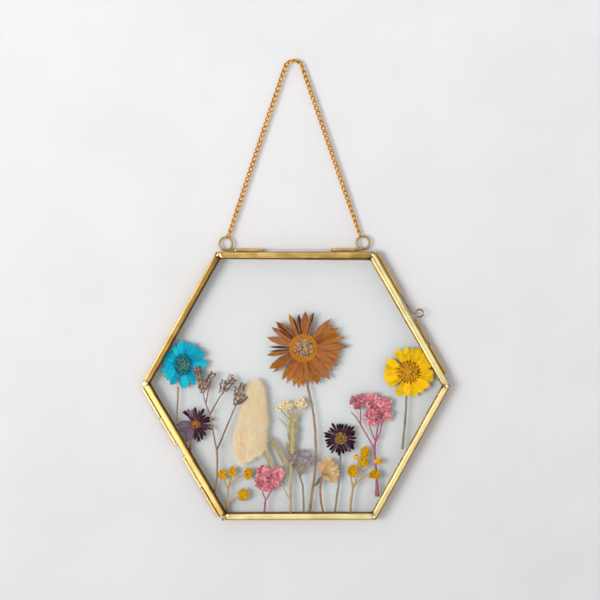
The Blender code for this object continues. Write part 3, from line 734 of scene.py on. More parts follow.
def add_chain():
    """A fine twisted chain: each oval link is turned along its length, so that all lie alike."""
    sheaf = Sheaf()
    line = smooth_route([(x, 0.0, z) for x, z in CHAIN_ROUTE], 24)
    run = distances(line)
    length = run[-1]

    def place_at(distance):
        distance = min(max(distance, 0.0), length)
        k = next(index for index in range(1, len(run)) if run[index] >= distance)
        share = (distance - run[k - 1]) / (run[k] - run[k - 1])
        return line[k - 1].lerp(line[k], share), (line[k] - line[k - 1]).normalized()

    def centre_of(turn, middle, jitter):
        at = LINK_HALF_LENGTH * math.cos(turn)
        aside = LINK_HALF_WIDTH * math.sin(turn)
        place, ahead = place_at(middle + at)
        over = middle + at - min(max(middle + at, 0.0), length)
        roll = LINK_ROLL_DEG * (1 - abs(math.sin(2 * math.pi * middle / length)))
        twist = math.radians(LINK_TWIST_DEG * at / LINK_HALF_LENGTH + roll) + jitter
        flat = ahead.cross(Vector((0, 1, 0)))
        deep = Vector((0, 1, 0))
        return place + ahead * over + flat * (aside * math.cos(twist)) + deep * (aside * math.sin(twist))

    rng = random.Random(11)
    links = int((length - 2 * LINK_HALF_LENGTH) / LINK_PITCH) + 1
    middle_u, _, middle_v = MIDDLE
    for link in range(links):
        middle = LINK_HALF_LENGTH + (length - 2 * LINK_HALF_LENGTH) * link / (links - 1)
        jitter = math.radians(rng.uniform(-LINK_JITTER_DEG, LINK_JITTER_DEG))
        ring = [centre_of(2 * math.pi * k / LINK_STEPS, middle, jitter) for k in range(LINK_STEPS)]
        heart = sum(ring, Vector()) / LINK_STEPS
        rows = []
        for k in range(LINK_STEPS):
            ahead = (ring[(k + 1) % LINK_STEPS] - ring[k - 1]).normalized()
            out = (ring[k] - heart).cross(ahead).cross(ahead).normalized() * -1
            deep = ahead.cross(out)
            row = []
            for j in range(LINK_SIDES):
                turn = 2 * math.pi * j / LINK_SIDES
                spot = ring[k] + (out * math.cos(turn) + deep * math.sin(turn)) * LINK_WIRE
                traits = (k / LINK_STEPS, j / LINK_SIDES, rng.random(), 0.0)
                row.append(sheaf.point(spot.x - middle_u, spot.z - middle_v, spot.y + HANGER_DEPTH, traits))
            rows.append(row)
        sheaf.grid([*rows, rows[0]], closed=True)
    piece = sheaf.make("chain_links", chain_gold, BACK, "chain")


# --- flower parts ---------------------------------------------------------------------------------------

POINTED = [(0.0, 0.5), (0.3, 0.8), (0.55, 1.0), (0.8, 0.8), (1.0, 0.06)]
SLENDER = [(0.0, 0.5), (0.35, 0.85), (0.7, 1.0), (0.9, 0.75), (1.0, 0.2)]
ROUNDED = [(0.0, 0.4), (0.35, 0.75), (0.7, 1.0), (0.9, 0.86), (1.0, 0.5)]
BROAD = [(0.0, 0.4), (0.3, 0.7), (0.66, 1.0), (0.88, 0.88), (1.0, 0.55)]
CRUMPLED = [(0.0, 0.5), (0.3, 1.0), (0.6, 0.85), (0.85, 1.0), (1.0, 0.3)]
# Depths of the flowers that lie behind others and of those in front of them.
BACK_LAYER = 0.42
FRONT_LAYER = -0.42


def petal(
    sheaf, centre, turn_deg, root, length, width, depth, shape, rng, notches=0, notch=0.0, relief=0.1,
    bend=0.0, ridges=2, wear=0.0, taper=0.0, rows=9, columns=8
):
    """One petal from its root out. notches cuts teeth in its tip, taper rounds it and bend curves it."""
    turn = math.radians(turn_deg)
    lot = rng.random()
    phase = rng.uniform(0, 6.28)
    made = []
    for k in range(rows + 1):
        t = k / rows
        row = []
        for j in range(columns + 1):
            s = j / columns
            tooth = notch * (
                0.5 - 0.5 * math.cos(2 * math.pi * notches * s + phase * 0.1)
            ) if notches else 0.0
            cut = tooth + taper * (2 * s - 1) ** 2
            reach = root + (length - root) * t * (1 - cut * t**3)
            half = 0.5 * width * shape_at(shape, t) * (1 + 0.06 * math.sin(9 * t + phase))
            aside = (2 * s - 1) * half + bend * width * t * t
            u = centre[0] + reach * math.cos(turn) - aside * math.sin(turn)
            v = centre[1] + reach * math.sin(turn) + aside * math.cos(turn)
            pleat = relief * math.cos(2 * math.pi * ridges * s) * math.sin(math.pi * min(1.0, t * 1.1))
            ripple = 0.5 * relief * math.sin(5 * t + phase + 2 * s)
            row.append(sheaf.point(u, v, depth + pleat + ripple, (t, s, lot, wear)))
        made.append(row)
    sheaf.grid(made)


GOLDEN_TURN = 2.39996


def florets(sheaf, centre, reach_u, reach_v, count, size, depth, dome, rng, tall=0.35, sides=6):
    """A disc of tiny florets in a sunflower spiral. Trait 4 is how far out each stands."""
    for k in range(count):
        share = math.sqrt((k + 0.5) / count)
        turn = k * GOLDEN_TURN + rng.uniform(-0.2, 0.2)
        u = centre[0] + reach_u * share * math.cos(turn)
        v = centre[1] + reach_v * share * math.sin(turn)
        height = dome * (1 - share**2)
        lot = rng.random()
        grow = size * rng.uniform(0.75, 1.2)
        lean_u = 0.4 * grow * share * math.cos(turn)
        lean_v = 0.4 * grow * share * math.sin(turn)
        low = []
        high = []
        for j in range(sides):
            way = 2 * math.pi * j / sides + turn
            x, y = math.cos(way), math.sin(way)
            # The first trait is 0 at a floret's foot and 1 at its top; the floret materials paint shade
            # with it.
            low.append(
                sheaf.point(u + x * grow, v + y * grow, depth - height, (0.0, j / sides, lot, share))
            )
            top = depth - height - tall * rng.uniform(0.8, 1.1)
            high.append(
                sheaf.point(
                    u + lean_u + x * grow * 0.55, v + lean_v + y * grow * 0.55, top,
                    (1.0, j / sides, lot, share)
                )
            )
        sheaf.grid([low, high], closed=True)
        sheaf.cap(high)


def cluster(sheaf, u, v, half_u, half_v, count, size, depth, rng, out=0.0, thick=0.5, broad=0.7, wear=0.2):
    """Crumpled bracts heaped in an oval. out turns them to point away from its middle."""
    for _ in range(count):
        share = math.sqrt(rng.random())
        spin = rng.uniform(0, 2 * math.pi)
        place = (u + half_u * share * math.cos(spin), v + half_v * share * math.sin(spin))
        away = math.degrees(math.atan2(place[1] - v, place[0] - u))
        turn = away * out + rng.uniform(-180, 180) * (1 - out) if out else rng.uniform(0, 360)
        layer = depth + thick * rng.uniform(-1, 1) * (1 - 0.6 * share)
        length = size * rng.uniform(0.7, 1.3)
        petal(
            sheaf, place, turn, 0.0, length, length * broad * rng.uniform(0.7, 1.3), layer, CRUMPLED, rng,
            relief=0.12, bend=rng.uniform(-0.4, 0.4), ridges=1, wear=wear * rng.random(), rows=4, columns=4
        )


def width_at(points, at):
    """The width of a route of (u, v, width) points, so many points along it."""
    index = min(int(at), len(points) - 2)
    near = points[index][2]
    far = points[index + 1][2]
    return near + (far - near) * (at - index)


def stem(sheaf, points, depth, rng, steps=8, sides=8, wobble=0.12):
    """A dried stem through (u, v, width) points, flattened by the press."""
    line = smooth_route([(u, v, 0.0) for u, v, _ in points], steps)
    first_u, _, first_width = points[0]
    radii = []
    for k in range(len(line)):
        uneven = wobble * noise.noise(Vector((k * 0.9, first_width * 7, first_u)))
        radii.append(width_at(points, k / steps) / 2 * (1 + uneven))
    seed = rng.random() * 50
    bent = []
    for k, place in enumerate(line):
        sway = noise.noise(Vector((k * 0.35, seed, 0))) * wobble * 1.4
        bent.append((place.x + sway, place.y, depth + 0.1 * noise.noise(Vector((seed, k * 0.3, 0)))))
    tube(sheaf, bent, radii, (rng.random(), 0.0), sides=sides, flatten=0.45)


def add_stems(name, nodes, material, depth, rng, *branches):
    """A stem and its branches as one piece."""
    sheaf = Sheaf()
    for points in branches:
        stem(sheaf, points, depth, rng)
    sheaf.make(name, material, BACK, *nodes)


def bristle(sheaf, u, v, d, way, length, width, traits, steps=3):
    """One fine hair that tapers to a point."""
    aside = Vector((-way.y, way.x, 0.0))
    aside = aside.normalized() if aside.length > 1e-4 else Vector((1, 0, 0))
    rows = []
    for k in range(steps + 1):
        t = k / steps
        place = Vector((u, v, d)) + way * (length * t)
        half = aside * (width * 0.5 * (1 - 0.9 * t))
        left = sheaf.point(*(place - half), (t, 0.0, *traits))
        right = sheaf.point(*(place + half), (t, 1.0, *traits))
        rows.append([left, right])
    sheaf.grid(rows)


def button(sheaf, u, v, half_u, half_v, depth, rng, count=90):
    """A round yellow head of short packed florets, a little uneven in outline."""
    phase = rng.uniform(0, 6.28)
    lump(sheaf, u, v, depth, half_u * 0.78, half_v * 0.78, 0.25, (0.4, 0.6), rng, 0.12)
    for k in range(count):
        share = math.sqrt((k + 0.5) / count)
        turn = k * GOLDEN_TURN
        edge = 1 + 0.07 * math.sin(3 * turn + phase) + 0.05 * math.sin(5 * turn - phase)
        x = half_u * edge * share * math.cos(turn)
        y = half_v * edge * share * math.sin(turn)
        height = 0.42 * math.sqrt(max(0.0, 1 - share**2)) + rng.uniform(0.0, 0.2)
        size = rng.uniform(0.22, 0.42)
        lump(
            sheaf, u + x * 0.9, v + y * 0.9, depth - height, size, size, 0.3, (rng.random(), share), rng,
            0.4, rows=4, sides=6
        )


# --- flowers --------------------------------------------------------------------------------------------


def add_blue_daisy():
    rng = random.Random(21)
    centre = (-60.2, 11.2)
    petals = [
        (99, 13.2), (85, 12.7), (59, 12.8), (44, 13.3), (29, 13.4), (8, 13.3), (-4, 12.6), (-24, 12.2),
        (-43, 12.4), (-60, 12.8), (-83, 12.8), (-92, 12.9), (-120, 12.6), (-136, 12.0), (-149, 12.0),
        (-164, 12.6), (179, 11.6), (160, 11.2), (144, 11.4), (119, 12.0), (71, 12.4)
    ]
    material = petal_material(
        "blue_petal", (0.004, 0.384, 0.575), (0.008, 0.504, 0.713), (0.003, 0.36, 0.598),
        (0.002, 0.336, 0.575), (0.008, 0.504, 0.575), 0.35
    )
    sheaf = Sheaf()
    for k, (turn, length) in enumerate(petals):
        petal(
            sheaf, centre, turn, 2.6, length, 3.8 - 0.9 * (k % 2), BACK_LAYER + 0.14 * (k % 3 - 1), ROUNDED,
            rng, relief=0.08, bend=rng.uniform(-0.1, 0.1), taper=0.10
        )
    sheaf.make("blue_daisy_petals_visual", material, BACK, "blue_daisy_petals")
    disc = Sheaf()
    florets(disc, centre, 4.4, 5.2, 200, 0.42, 0.1, 0.35, rng)
    for k in range(64):
        turn = 2 * math.pi * k / 64 + rng.uniform(-0.04, 0.04)
        way = Vector((math.cos(turn), math.sin(turn), -0.12))
        bristle(
            disc, centre[0] + 3.6 * way.x, centre[1] + 4.3 * way.y, -0.1, way, rng.uniform(1.6, 2.5), 0.42,
            (rng.uniform(0.3, 0.9), 0.98), steps=2
        )
    stops = [
        (0.0, (0.08, 0.25, 0.18)), (0.6, (0.05, 0.22, 0.19)), (0.85, (0.01, 0.20, 0.26)),
        (1.0, (0.0, 0.18, 0.30))
    ]
    material = speckled_material("blue_disc", stops, (0.01, 0.05, 0.08), 0.22, light=(0.22, 0.38, 0.26))
    disc.make("blue_daisy_disc_visual", material, BACK, "blue_daisy_disc")
    add_stems(
        "blue_daisy_stem_visual", ["blue_daisy_stem"], stem_brown, BACK_LAYER, rng,
        [(-62.9, -0.6, 1.0), (-63.0, -7.0, 0.9), (-63.3, -13.0, 0.8), (-63.2, -18.0, 0.7)]
    )


def add_plum_daisy():
    """Crumpled: broad faded petals lie folded to the left, and narrow dark ones curl to the right."""
    rng = random.Random(5)
    centre = (-53.5, -20.4)
    broad = Sheaf()
    broad_petals = [(181, 10.4, 4.6), (236, 10.6, 5.2), (208, 9.4, 4.6), (114, 8.6, 3.4)]
    for k, (turn, length, width) in enumerate(broad_petals):
        petal(
            broad, centre, turn, 0.8, length, width, BACK_LAYER + 0.12 * (k % 3), ROUNDED, rng, relief=0.16,
            bend=rng.uniform(-0.2, 0.2), ridges=2, taper=0.35
        )
    faded = petal_material(
        "plum_faded", (0.17, 0.09, 0.14), (0.19, 0.15, 0.21), (0.09, 0.05, 0.09), (0.12, 0.07, 0.12),
        veins=9.0
    )
    broad.make("plum_daisy_broad_petals", faded, BACK)
    narrow = Sheaf()
    for k in range(25):
        turn = -98 + 236 * (k + rng.random()) / 25
        length = rng.uniform(6.6, 9.9) if turn > -60 else rng.uniform(7.5, 10.4)
        petal(
            narrow, centre, turn, 0.8, length, rng.uniform(1.0, 1.7), BACK_LAYER - 0.3 + 0.2 * (k % 4),
            CRUMPLED, rng, relief=0.18, bend=rng.uniform(-1.1, 1.1), ridges=1, wear=rng.random() * 0.4
        )
    dark = petal_material(
        "plum_petal", (0.12, 0.035, 0.04), (0.03, 0.008, 0.015), (0.02, 0.006, 0.012), (0.03, 0.008, 0.014),
        (0.12, 0.06, 0.08), 0.25, veins=6.0
    )
    narrow.make("plum_daisy_petals_visual", dark, BACK, "plum_daisy_petals")
    disc = Sheaf()
    florets(disc, centre, 2.6, 2.4, 90, 0.34, 0.05, 0.35, rng, tall=0.4)
    stops = [(0.0, (0.55, 0.26, 0.06)), (0.6, (0.50, 0.20, 0.05)), (1.0, (0.26, 0.07, 0.04))]
    material = speckled_material("plum_disc", stops, (0.10, 0.02, 0.02), 0.2, light=(0.75, 0.42, 0.16))
    disc.make("plum_daisy_disc_visual", material, BACK, "plum_daisy_disc")
    add_stems(
        "plum_daisy_stem_visual", ["plum_daisy_stem"], stem_red, BACK_LAYER, rng,
        [(-56.1, -28.6, 1.1), (-56.4, -32.0, 1.1), (-56.3, -35.2, 0.9)]
    )


def spikelets(sheaf, start, end, count, size, depth, rng, spread=2.6):
    """Small papery cups in two rows along a twig."""
    start = Vector(start)
    end = Vector(end)
    lean = math.degrees(math.atan2(end.y - start.y, end.x - start.x))
    for k in range(count):
        place = start.lerp(end, (k + rng.random()) / count)
        side = 1 if k % 2 else -1
        across = Vector((-(end - start).y, (end - start).x)).normalized()
        aside = across * side * spread * rng.uniform(0.1, 1.0)
        turn = lean + side * rng.uniform(15, 60)
        length = size * rng.uniform(0.8, 1.3)
        petal(
            sheaf, tuple(place + aside * 0.4), turn, 0.0, length, length * 0.5,
            depth + rng.uniform(-0.3, 0.25), CRUMPLED, rng, relief=0.1, ridges=1,
            bend=rng.uniform(-0.3, 0.3), wear=rng.random() * 0.8, rows=4, columns=4
        )


def add_sea_lavender():
    rng = random.Random(8)
    add_stems(
        "sea_lavender_stem_visual", ["sea_lavender_stem"], stem_brown, FRONT_LAYER, rng,
        [
            (-43.6, -57.8, 1.0), (-42.9, -53.0, 1.2), (-42.1, -47.0, 1.1), (-42.0, -40.0, 1.1),
            (-42.2, -33.6, 1.3)
        ]
    )
    material = petal_material(
        "lavender_bract", (0.25, 0.13, 0.07), (0.40, 0.26, 0.18), (0.16, 0.08, 0.05), (0.17, 0.09, 0.05),
        (0.62, 0.48, 0.40), 0.35, veins=6.0
    )
    left = Sheaf()
    stem(
        left,
        [
            (-42.3, -33.6, 1.0), (-44.4, -23.5, 0.9), (-46.0, -15.5, 0.9), (-48.4, -8.8, 0.8),
            (-49.9, -2.6, 0.7), (-51.0, 4.0, 0.6), (-52.3, 9.6, 0.4)
        ],
        FRONT_LAYER, rng
    )
    stem(left, [(-48.0, -9.6, 0.6), (-47.0, -4.0, 0.5), (-45.8, 1.0, 0.4)], FRONT_LAYER, rng)
    stem(
        left,
        [
            (-46.0, -15.6, 0.8), (-43.0, -10.0, 0.7), (-40.0, -5.0, 0.6), (-37.0, -1.6, 0.5),
            (-33.4, 1.6, 0.4)
        ],
        FRONT_LAYER, rng
    )
    for start, end, count, size in (
        ((-49.6, -4.0), (-52.4, 9.8), 92, 1.218), ((-49.2, -2.0), (-44.2, 6.4), 84, 1.218),
        ((-49.8, 0.0), (-54.0, 9.0), 36, 1.044), ((-40.2, -4.4), (-38.6, 2.6), 40, 1.102),
        ((-38.4, -2.8), (-33.2, 3.6), 48, 1.102), ((-35.8, 0.6), (-34.6, 5.6), 24, 0.986)
    ):
        spikelets(left, start, end, count, size, FRONT_LAYER, rng)
    left.make("sea_lavender_left_visual", material, BACK, "sea_lavender_left_branch")
    right = Sheaf()
    stem(
        right,
        [
            (-42.0, -33.6, 1.0), (-39.2, -27.0, 0.8), (-36.8, -21.2, 0.8), (-33.4, -13.0, 0.7),
            (-30.6, -6.0, 0.6), (-29.0, 0.6, 0.4)
        ],
        FRONT_LAYER, rng
    )
    for start, end, count, size in (
        ((-33.0, -10.6), (-28.4, 0.6), 80, 1.218), ((-31.4, -9.6), (-27.2, -5.6), 40, 1.102),
        ((-32.0, -6.0), (-31.4, -0.6), 32, 1.044)
    ):
        spikelets(right, start, end, count, size, FRONT_LAYER, rng)
    right.make("sea_lavender_right_visual", material, BACK, "sea_lavender_right_branch")


BODY_FOOT = -40.0
BODY_HEIGHT = 42.0
BODY_ROWS = 20
BODY_COLUMNS = 8
TUFTS = 1100
HAIRS_PER_TUFT = 13


def add_bunny_tail():
    """A soft seed head: an inner body under thousands of fine upright hairs."""
    rng = random.Random(3)
    # The head's middle line and its half width, as (height, value) pairs.
    middle = [(-43.0, -25.8), (-38.0, -25.6), (-28.0, -24.8), (-16.0, -23.0), (-4.0, -21.6), (6.0, -20.6)]
    half_width = [
        (-41.6, 2.0), (-40.4, 6.0), (-37.0, 8.4), (-30.0, 9.2), (-22.0, 8.6), (-12.0, 6.8), (-4.0, 4.8),
        (1.0, 3.3), (4.0, 1.9), (5.4, 0.4)
    ]
    sheaf = Sheaf()
    rows = []
    for k in range(BODY_ROWS + 1):
        v = BODY_FOOT + BODY_HEIGHT * k / BODY_ROWS
        heart = shape_at(middle, v)
        reach = max(0.2, shape_at(half_width, v) - 4.2)
        row = []
        for j in range(BODY_COLUMNS + 1):
            s = j / BODY_COLUMNS
            depth = 0.5 - 0.45 * math.sin(math.pi * s)
            row.append(sheaf.point(heart + (2 * s - 1) * reach, v, depth, (0.3, s, 0.5, s)))
        rows.append(row)
    sheaf.grid(rows)
    for _ in range(TUFTS):
        s = rng.random()
        v = rng.uniform(-40.8 + 5.0 * s * s, 2.6)
        reach = max(0.2, shape_at(half_width, v) - 1.7)
        u = shape_at(middle, v) + (2 * s - 1) * reach
        lean = (s - 0.5) * 1.2 + 0.06 + rng.uniform(-0.16, 0.16)
        if v < -38:
            lean = (s - 0.5) * 3.2 + rng.uniform(-0.5, 0.5)
        tone = rng.random()
        depth = 0.3 - 0.5 * math.sin(math.pi * s) * rng.random()
        reach_up = rng.uniform(2.2, 4.6) * (0.55 if v < -38 or v > 0 else 1.0)
        for hair in range(HAIRS_PER_TUFT):
            fringe = 1.1 * (2 * s - 1) * abs(2 * s - 1) if hair % 4 == 0 else 0.0
            turn = lean + fringe + rng.uniform(-0.34, 0.34)
            way = Vector((math.sin(turn), math.cos(turn), rng.uniform(-0.08, 0.02))).normalized()
            lot = min(1.0, max(0.0, tone + rng.uniform(-0.2, 0.2)))
            bristle(
                sheaf, u + rng.uniform(-1.1, 1.1), v - 0.8 + rng.uniform(-1.6, 1.6), depth, way,
                reach_up * rng.uniform(0.7, 1.15), rng.uniform(0.05, 0.12), (lot, s)
            )
    shader = Shader("bunny_tail_hair", 0.85, specular=0.15)
    _, _, lot, side = shader.traits()
    colour = shader.mix(shader.spread(lot, 0.0, 0.8), (1.0, 0.68, 0.36), (1.0, 0.95, 0.72))
    streaks = shader.grain(1.0, 3.0, shader.stretched(0.55, 0.08))
    colour = shader.mix(shader.spread(streaks, 0.46, 0.64, 0.0, 0.6), colour, (0.97, 0.80, 0.46))
    colour = shader.mix(shader.spread(streaks, 0.32, 0.44, 0.5, 0.0), colour, (0.95, 0.62, 0.38))
    # Painted shade: the right side of the head is darker, as turned from the light.
    colour = shader.mix(shader.spread(side, 0.76, 1.0, 0.0, 0.4), colour, (0.66, 0.50, 0.28))
    colour = shader.mix(shader.spread(lot, 0.93, 1.0, 0.0, 0.5), colour, (0.56, 0.38, 0.20))
    sheaf.make("bunny_tail_visual", shader.done(colour), BACK, "bunny_tail_head")


def add_left_buttons():
    rng = random.Random(14)
    sheaf = Sheaf()
    for u, v, half_u, half_v in (
        (-39.0, -47.1, 2.7, 3.0), (-34.0, -45.7, 2.2, 3.4), (-25.6, -46.6, 2.6, 3.6),
        (-28.2, -57.8, 3.6, 4.0)
    ):
        button(sheaf, u, v, half_u, half_v, 0.35, rng)
    sheaf.make("yellow_buttons_left_heads", button_yellow, BACK, "yellow_buttons_left")
    add_stems(
        "yellow_buttons_left_twigs", [], stem_gold, 0.5, rng,
        [
            (-36.9, -67.6, 1.3), (-36.8, -62.0, 1.1), (-36.2, -56.0, 1.0), (-35.6, -52.0, 0.9),
            (-34.4, -47.6, 0.7)
        ],
        [(-36.3, -55.0, 0.9), (-37.8, -51.4, 0.7), (-38.8, -48.6, 0.6)],
        [(-35.8, -53.0, 0.8), (-31.6, -49.4, 0.7), (-27.4, -47.2, 0.6)],
        [(-36.7, -62.6, 0.8), (-33.6, -60.6, 0.7), (-30.6, -58.8, 0.6)]
    )


def add_small_pink():
    rng = random.Random(31)
    sheaf = Sheaf()
    for u, v, half_u, half_v in (
        (-17.6, -46.6, 3.0, 3.4), (-14.2, -48.4, 3.4, 3.4), (-9.9, -46.4, 2.6, 2.6),
        (-18.2, -51.4, 2.8, 3.0), (-15.4, -53.0, 2.6, 2.0), (-12.6, -50.4, 2.8, 2.6)
    ):
        cluster(sheaf, u, v, half_u, half_v, 110, 1.5, FRONT_LAYER, rng, out=0.6, thick=0.3, broad=0.9)
    cluster(sheaf, -14.4, -49.0, 1.6, 2.4, 26, 0.9, FRONT_LAYER - 0.32, rng, thick=0.05, wear=1.6)
    cluster(sheaf, -19.4, -52.0, 1.4, 1.6, 26, 1.0, FRONT_LAYER - 0.28, rng, thick=0.05, wear=0.9)
    sheaf.make("small_pink_head_visual", pink_bract, BACK, "small_pink_head")
    add_stems(
        "small_pink_stem_visual", ["small_pink_stem"], stem_pink, FRONT_LAYER, rng,
        [(-17.0, -67.6, 1.1), (-16.8, -63.5, 1.0), (-16.4, -60.4, 0.9)],
        [(-16.4, -60.6, 0.8), (-17.6, -57.6, 0.7), (-18.4, -55.0, 0.5)],
        [(-16.4, -60.6, 0.8), (-14.2, -57.0, 0.7), (-12.2, -52.8, 0.5)]
    )


def rosette(sheaf, u, v, reach, depth, rng, count=11):
    """A small papery star of pointed bracts round a raised middle."""
    for ring, share in ((0, 1.0), (1, 0.68)):
        for k in range(count - 2 * ring):
            turn = 360.0 * k / (count - 2 * ring) + rng.uniform(-9, 9)
            petal(
                sheaf, (u, v), turn, 0.2, reach * share * rng.uniform(0.8, 1.15), reach * 0.42,
                depth - 0.18 * ring, POINTED, rng, relief=0.1, ridges=1, bend=rng.uniform(-0.2, 0.2),
                rows=5, columns=4
            )
    lump(sheaf, u, v, depth - 0.3, reach * 0.24, reach * 0.24, 0.25, (0.9, 0.7), rng, 0.3, rows=5, sides=8)


def add_cream_everlasting():
    rng = random.Random(17)
    sheaf = Sheaf()
    for u, v, reach in (
        (-9.6, -12.2, 1.7), (-7.8, -10.6, 2.0), (-5.4, -9.4, 1.9), (-4.0, -11.2, 1.7), (-6.4, -12.2, 1.6),
        (-2.2, -10.2, 1.4), (0.2, -9.0, 1.9), (2.4, -7.8, 2.1), (4.0, -9.6, 1.8), (1.8, -10.8, 1.8),
        (3.2, -11.6, 1.3)
    ):
        rosette(sheaf, u, v, reach, 0.3, rng)
    sheaf.make("cream_heads_visual", cream_bract, BACK, "cream_everlasting")
    stalk = Sheaf()
    stem(
        stalk,
        [
            (-1.8, -19.0, 2.4), (-1.9, -26.0, 2.6), (-2.2, -34.0, 2.4), (-2.8, -44.0, 1.9),
            (-3.2, -55.0, 1.5), (-3.3, -67.6, 1.3)
        ],
        0.48, rng, sides=12, wobble=0.3
    )
    for head in ((-8.6, -12.4), (-5.2, -11.8), (-2.2, -11.4), (0.6, -11.4), (3.0, -11.6)):
        fork = (-1.8 + 0.25 * (head[0] + 1.8), -18.4)
        stem(stalk, [(-1.8, -22.0, 1.1), (*fork, 1.0), (*head, 0.7)], 0.45, rng)
    stem(stalk, [(-2.6, -25.2, 1.3), (-4.8, -21.8, 1.1), (-9.6, -17.0, 0.4)], 0.45, rng)
    stalk.make("cream_stem_visual", stem_felt, BACK)
    scales = Sheaf()
    for k in range(44):
        share = k / 43
        side = 1 if k % 2 else -1
        place = (-1.8 - 1.0 * share + side * rng.uniform(0.1, 0.9), -20.0 - 25.0 * share)
        petal(
            scales, place, 90 - side * rng.uniform(4, 26), 0.0, rng.uniform(3.6, 6.4),
            rng.uniform(1.0, 1.6), 0.42 - 0.25 * rng.random(), SLENDER, rng, relief=0.1, ridges=1,
            bend=rng.uniform(-0.4, 0.4), wear=0.4 * rng.random(), rows=6, columns=4
        )
    scales.make("cream_stem_leaves", leaf_felt, BACK)
    leaves = {
        "cream_leaf_right": [
            (-14.6, -27.2, 0.5), (-12.4, -29.8, 2.5), (-9.7, -34.5, 2.6), (-7.3, -39.4, 2.1),
            (-5.8, -44.0, 1.3), (-4.6, -51.0, 0.6)
        ],
        "cream_leaf_left": [
            (-16.2, -28.6, 0.6), (-16.0, -34.4, 2.4), (-14.6, -39.5, 2.5), (-12.2, -44.0, 1.9),
            (-9.2, -49.6, 0.9), (-6.2, -55.4, 0.6), (-4.2, -60.0, 0.5)
        ]
    }
    for name, points in leaves.items():
        leaf = Sheaf()
        add_leaf(leaf, points, 0.6, rng)
        leaf.make(f"{name}_visual", leaf_tan, BACK, name)


def add_leaf(sheaf, points, depth, rng, steps=6, columns=6):
    """A flat leaf through (u, v, width) points, creased along its middle and curled at its edges."""
    line = smooth_route([(u, v, 0.0) for u, v, _ in points], steps)
    lot = rng.random()
    rows = []
    for k, place in enumerate(line):
        width = width_at(points, k / steps)
        ahead = heading(line, k)
        aside = Vector((-ahead.y, ahead.x, 0.0))
        row = []
        for j in range(columns + 1):
            s = j / columns
            edge = 1 + 0.12 * noise.noise(Vector((k * 0.5, s * 3, points[0][0])))
            spot = place + aside * ((s - 0.5) * width * edge)
            lift = 0.16 * abs(2 * s - 1) - 0.05 * math.sin(k * 0.7)
            row.append(sheaf.point(spot.x, spot.y, depth - lift, (k / (len(line) - 1), s, lot, 0.0)))
        rows.append(row)
    sheaf.grid(rows)


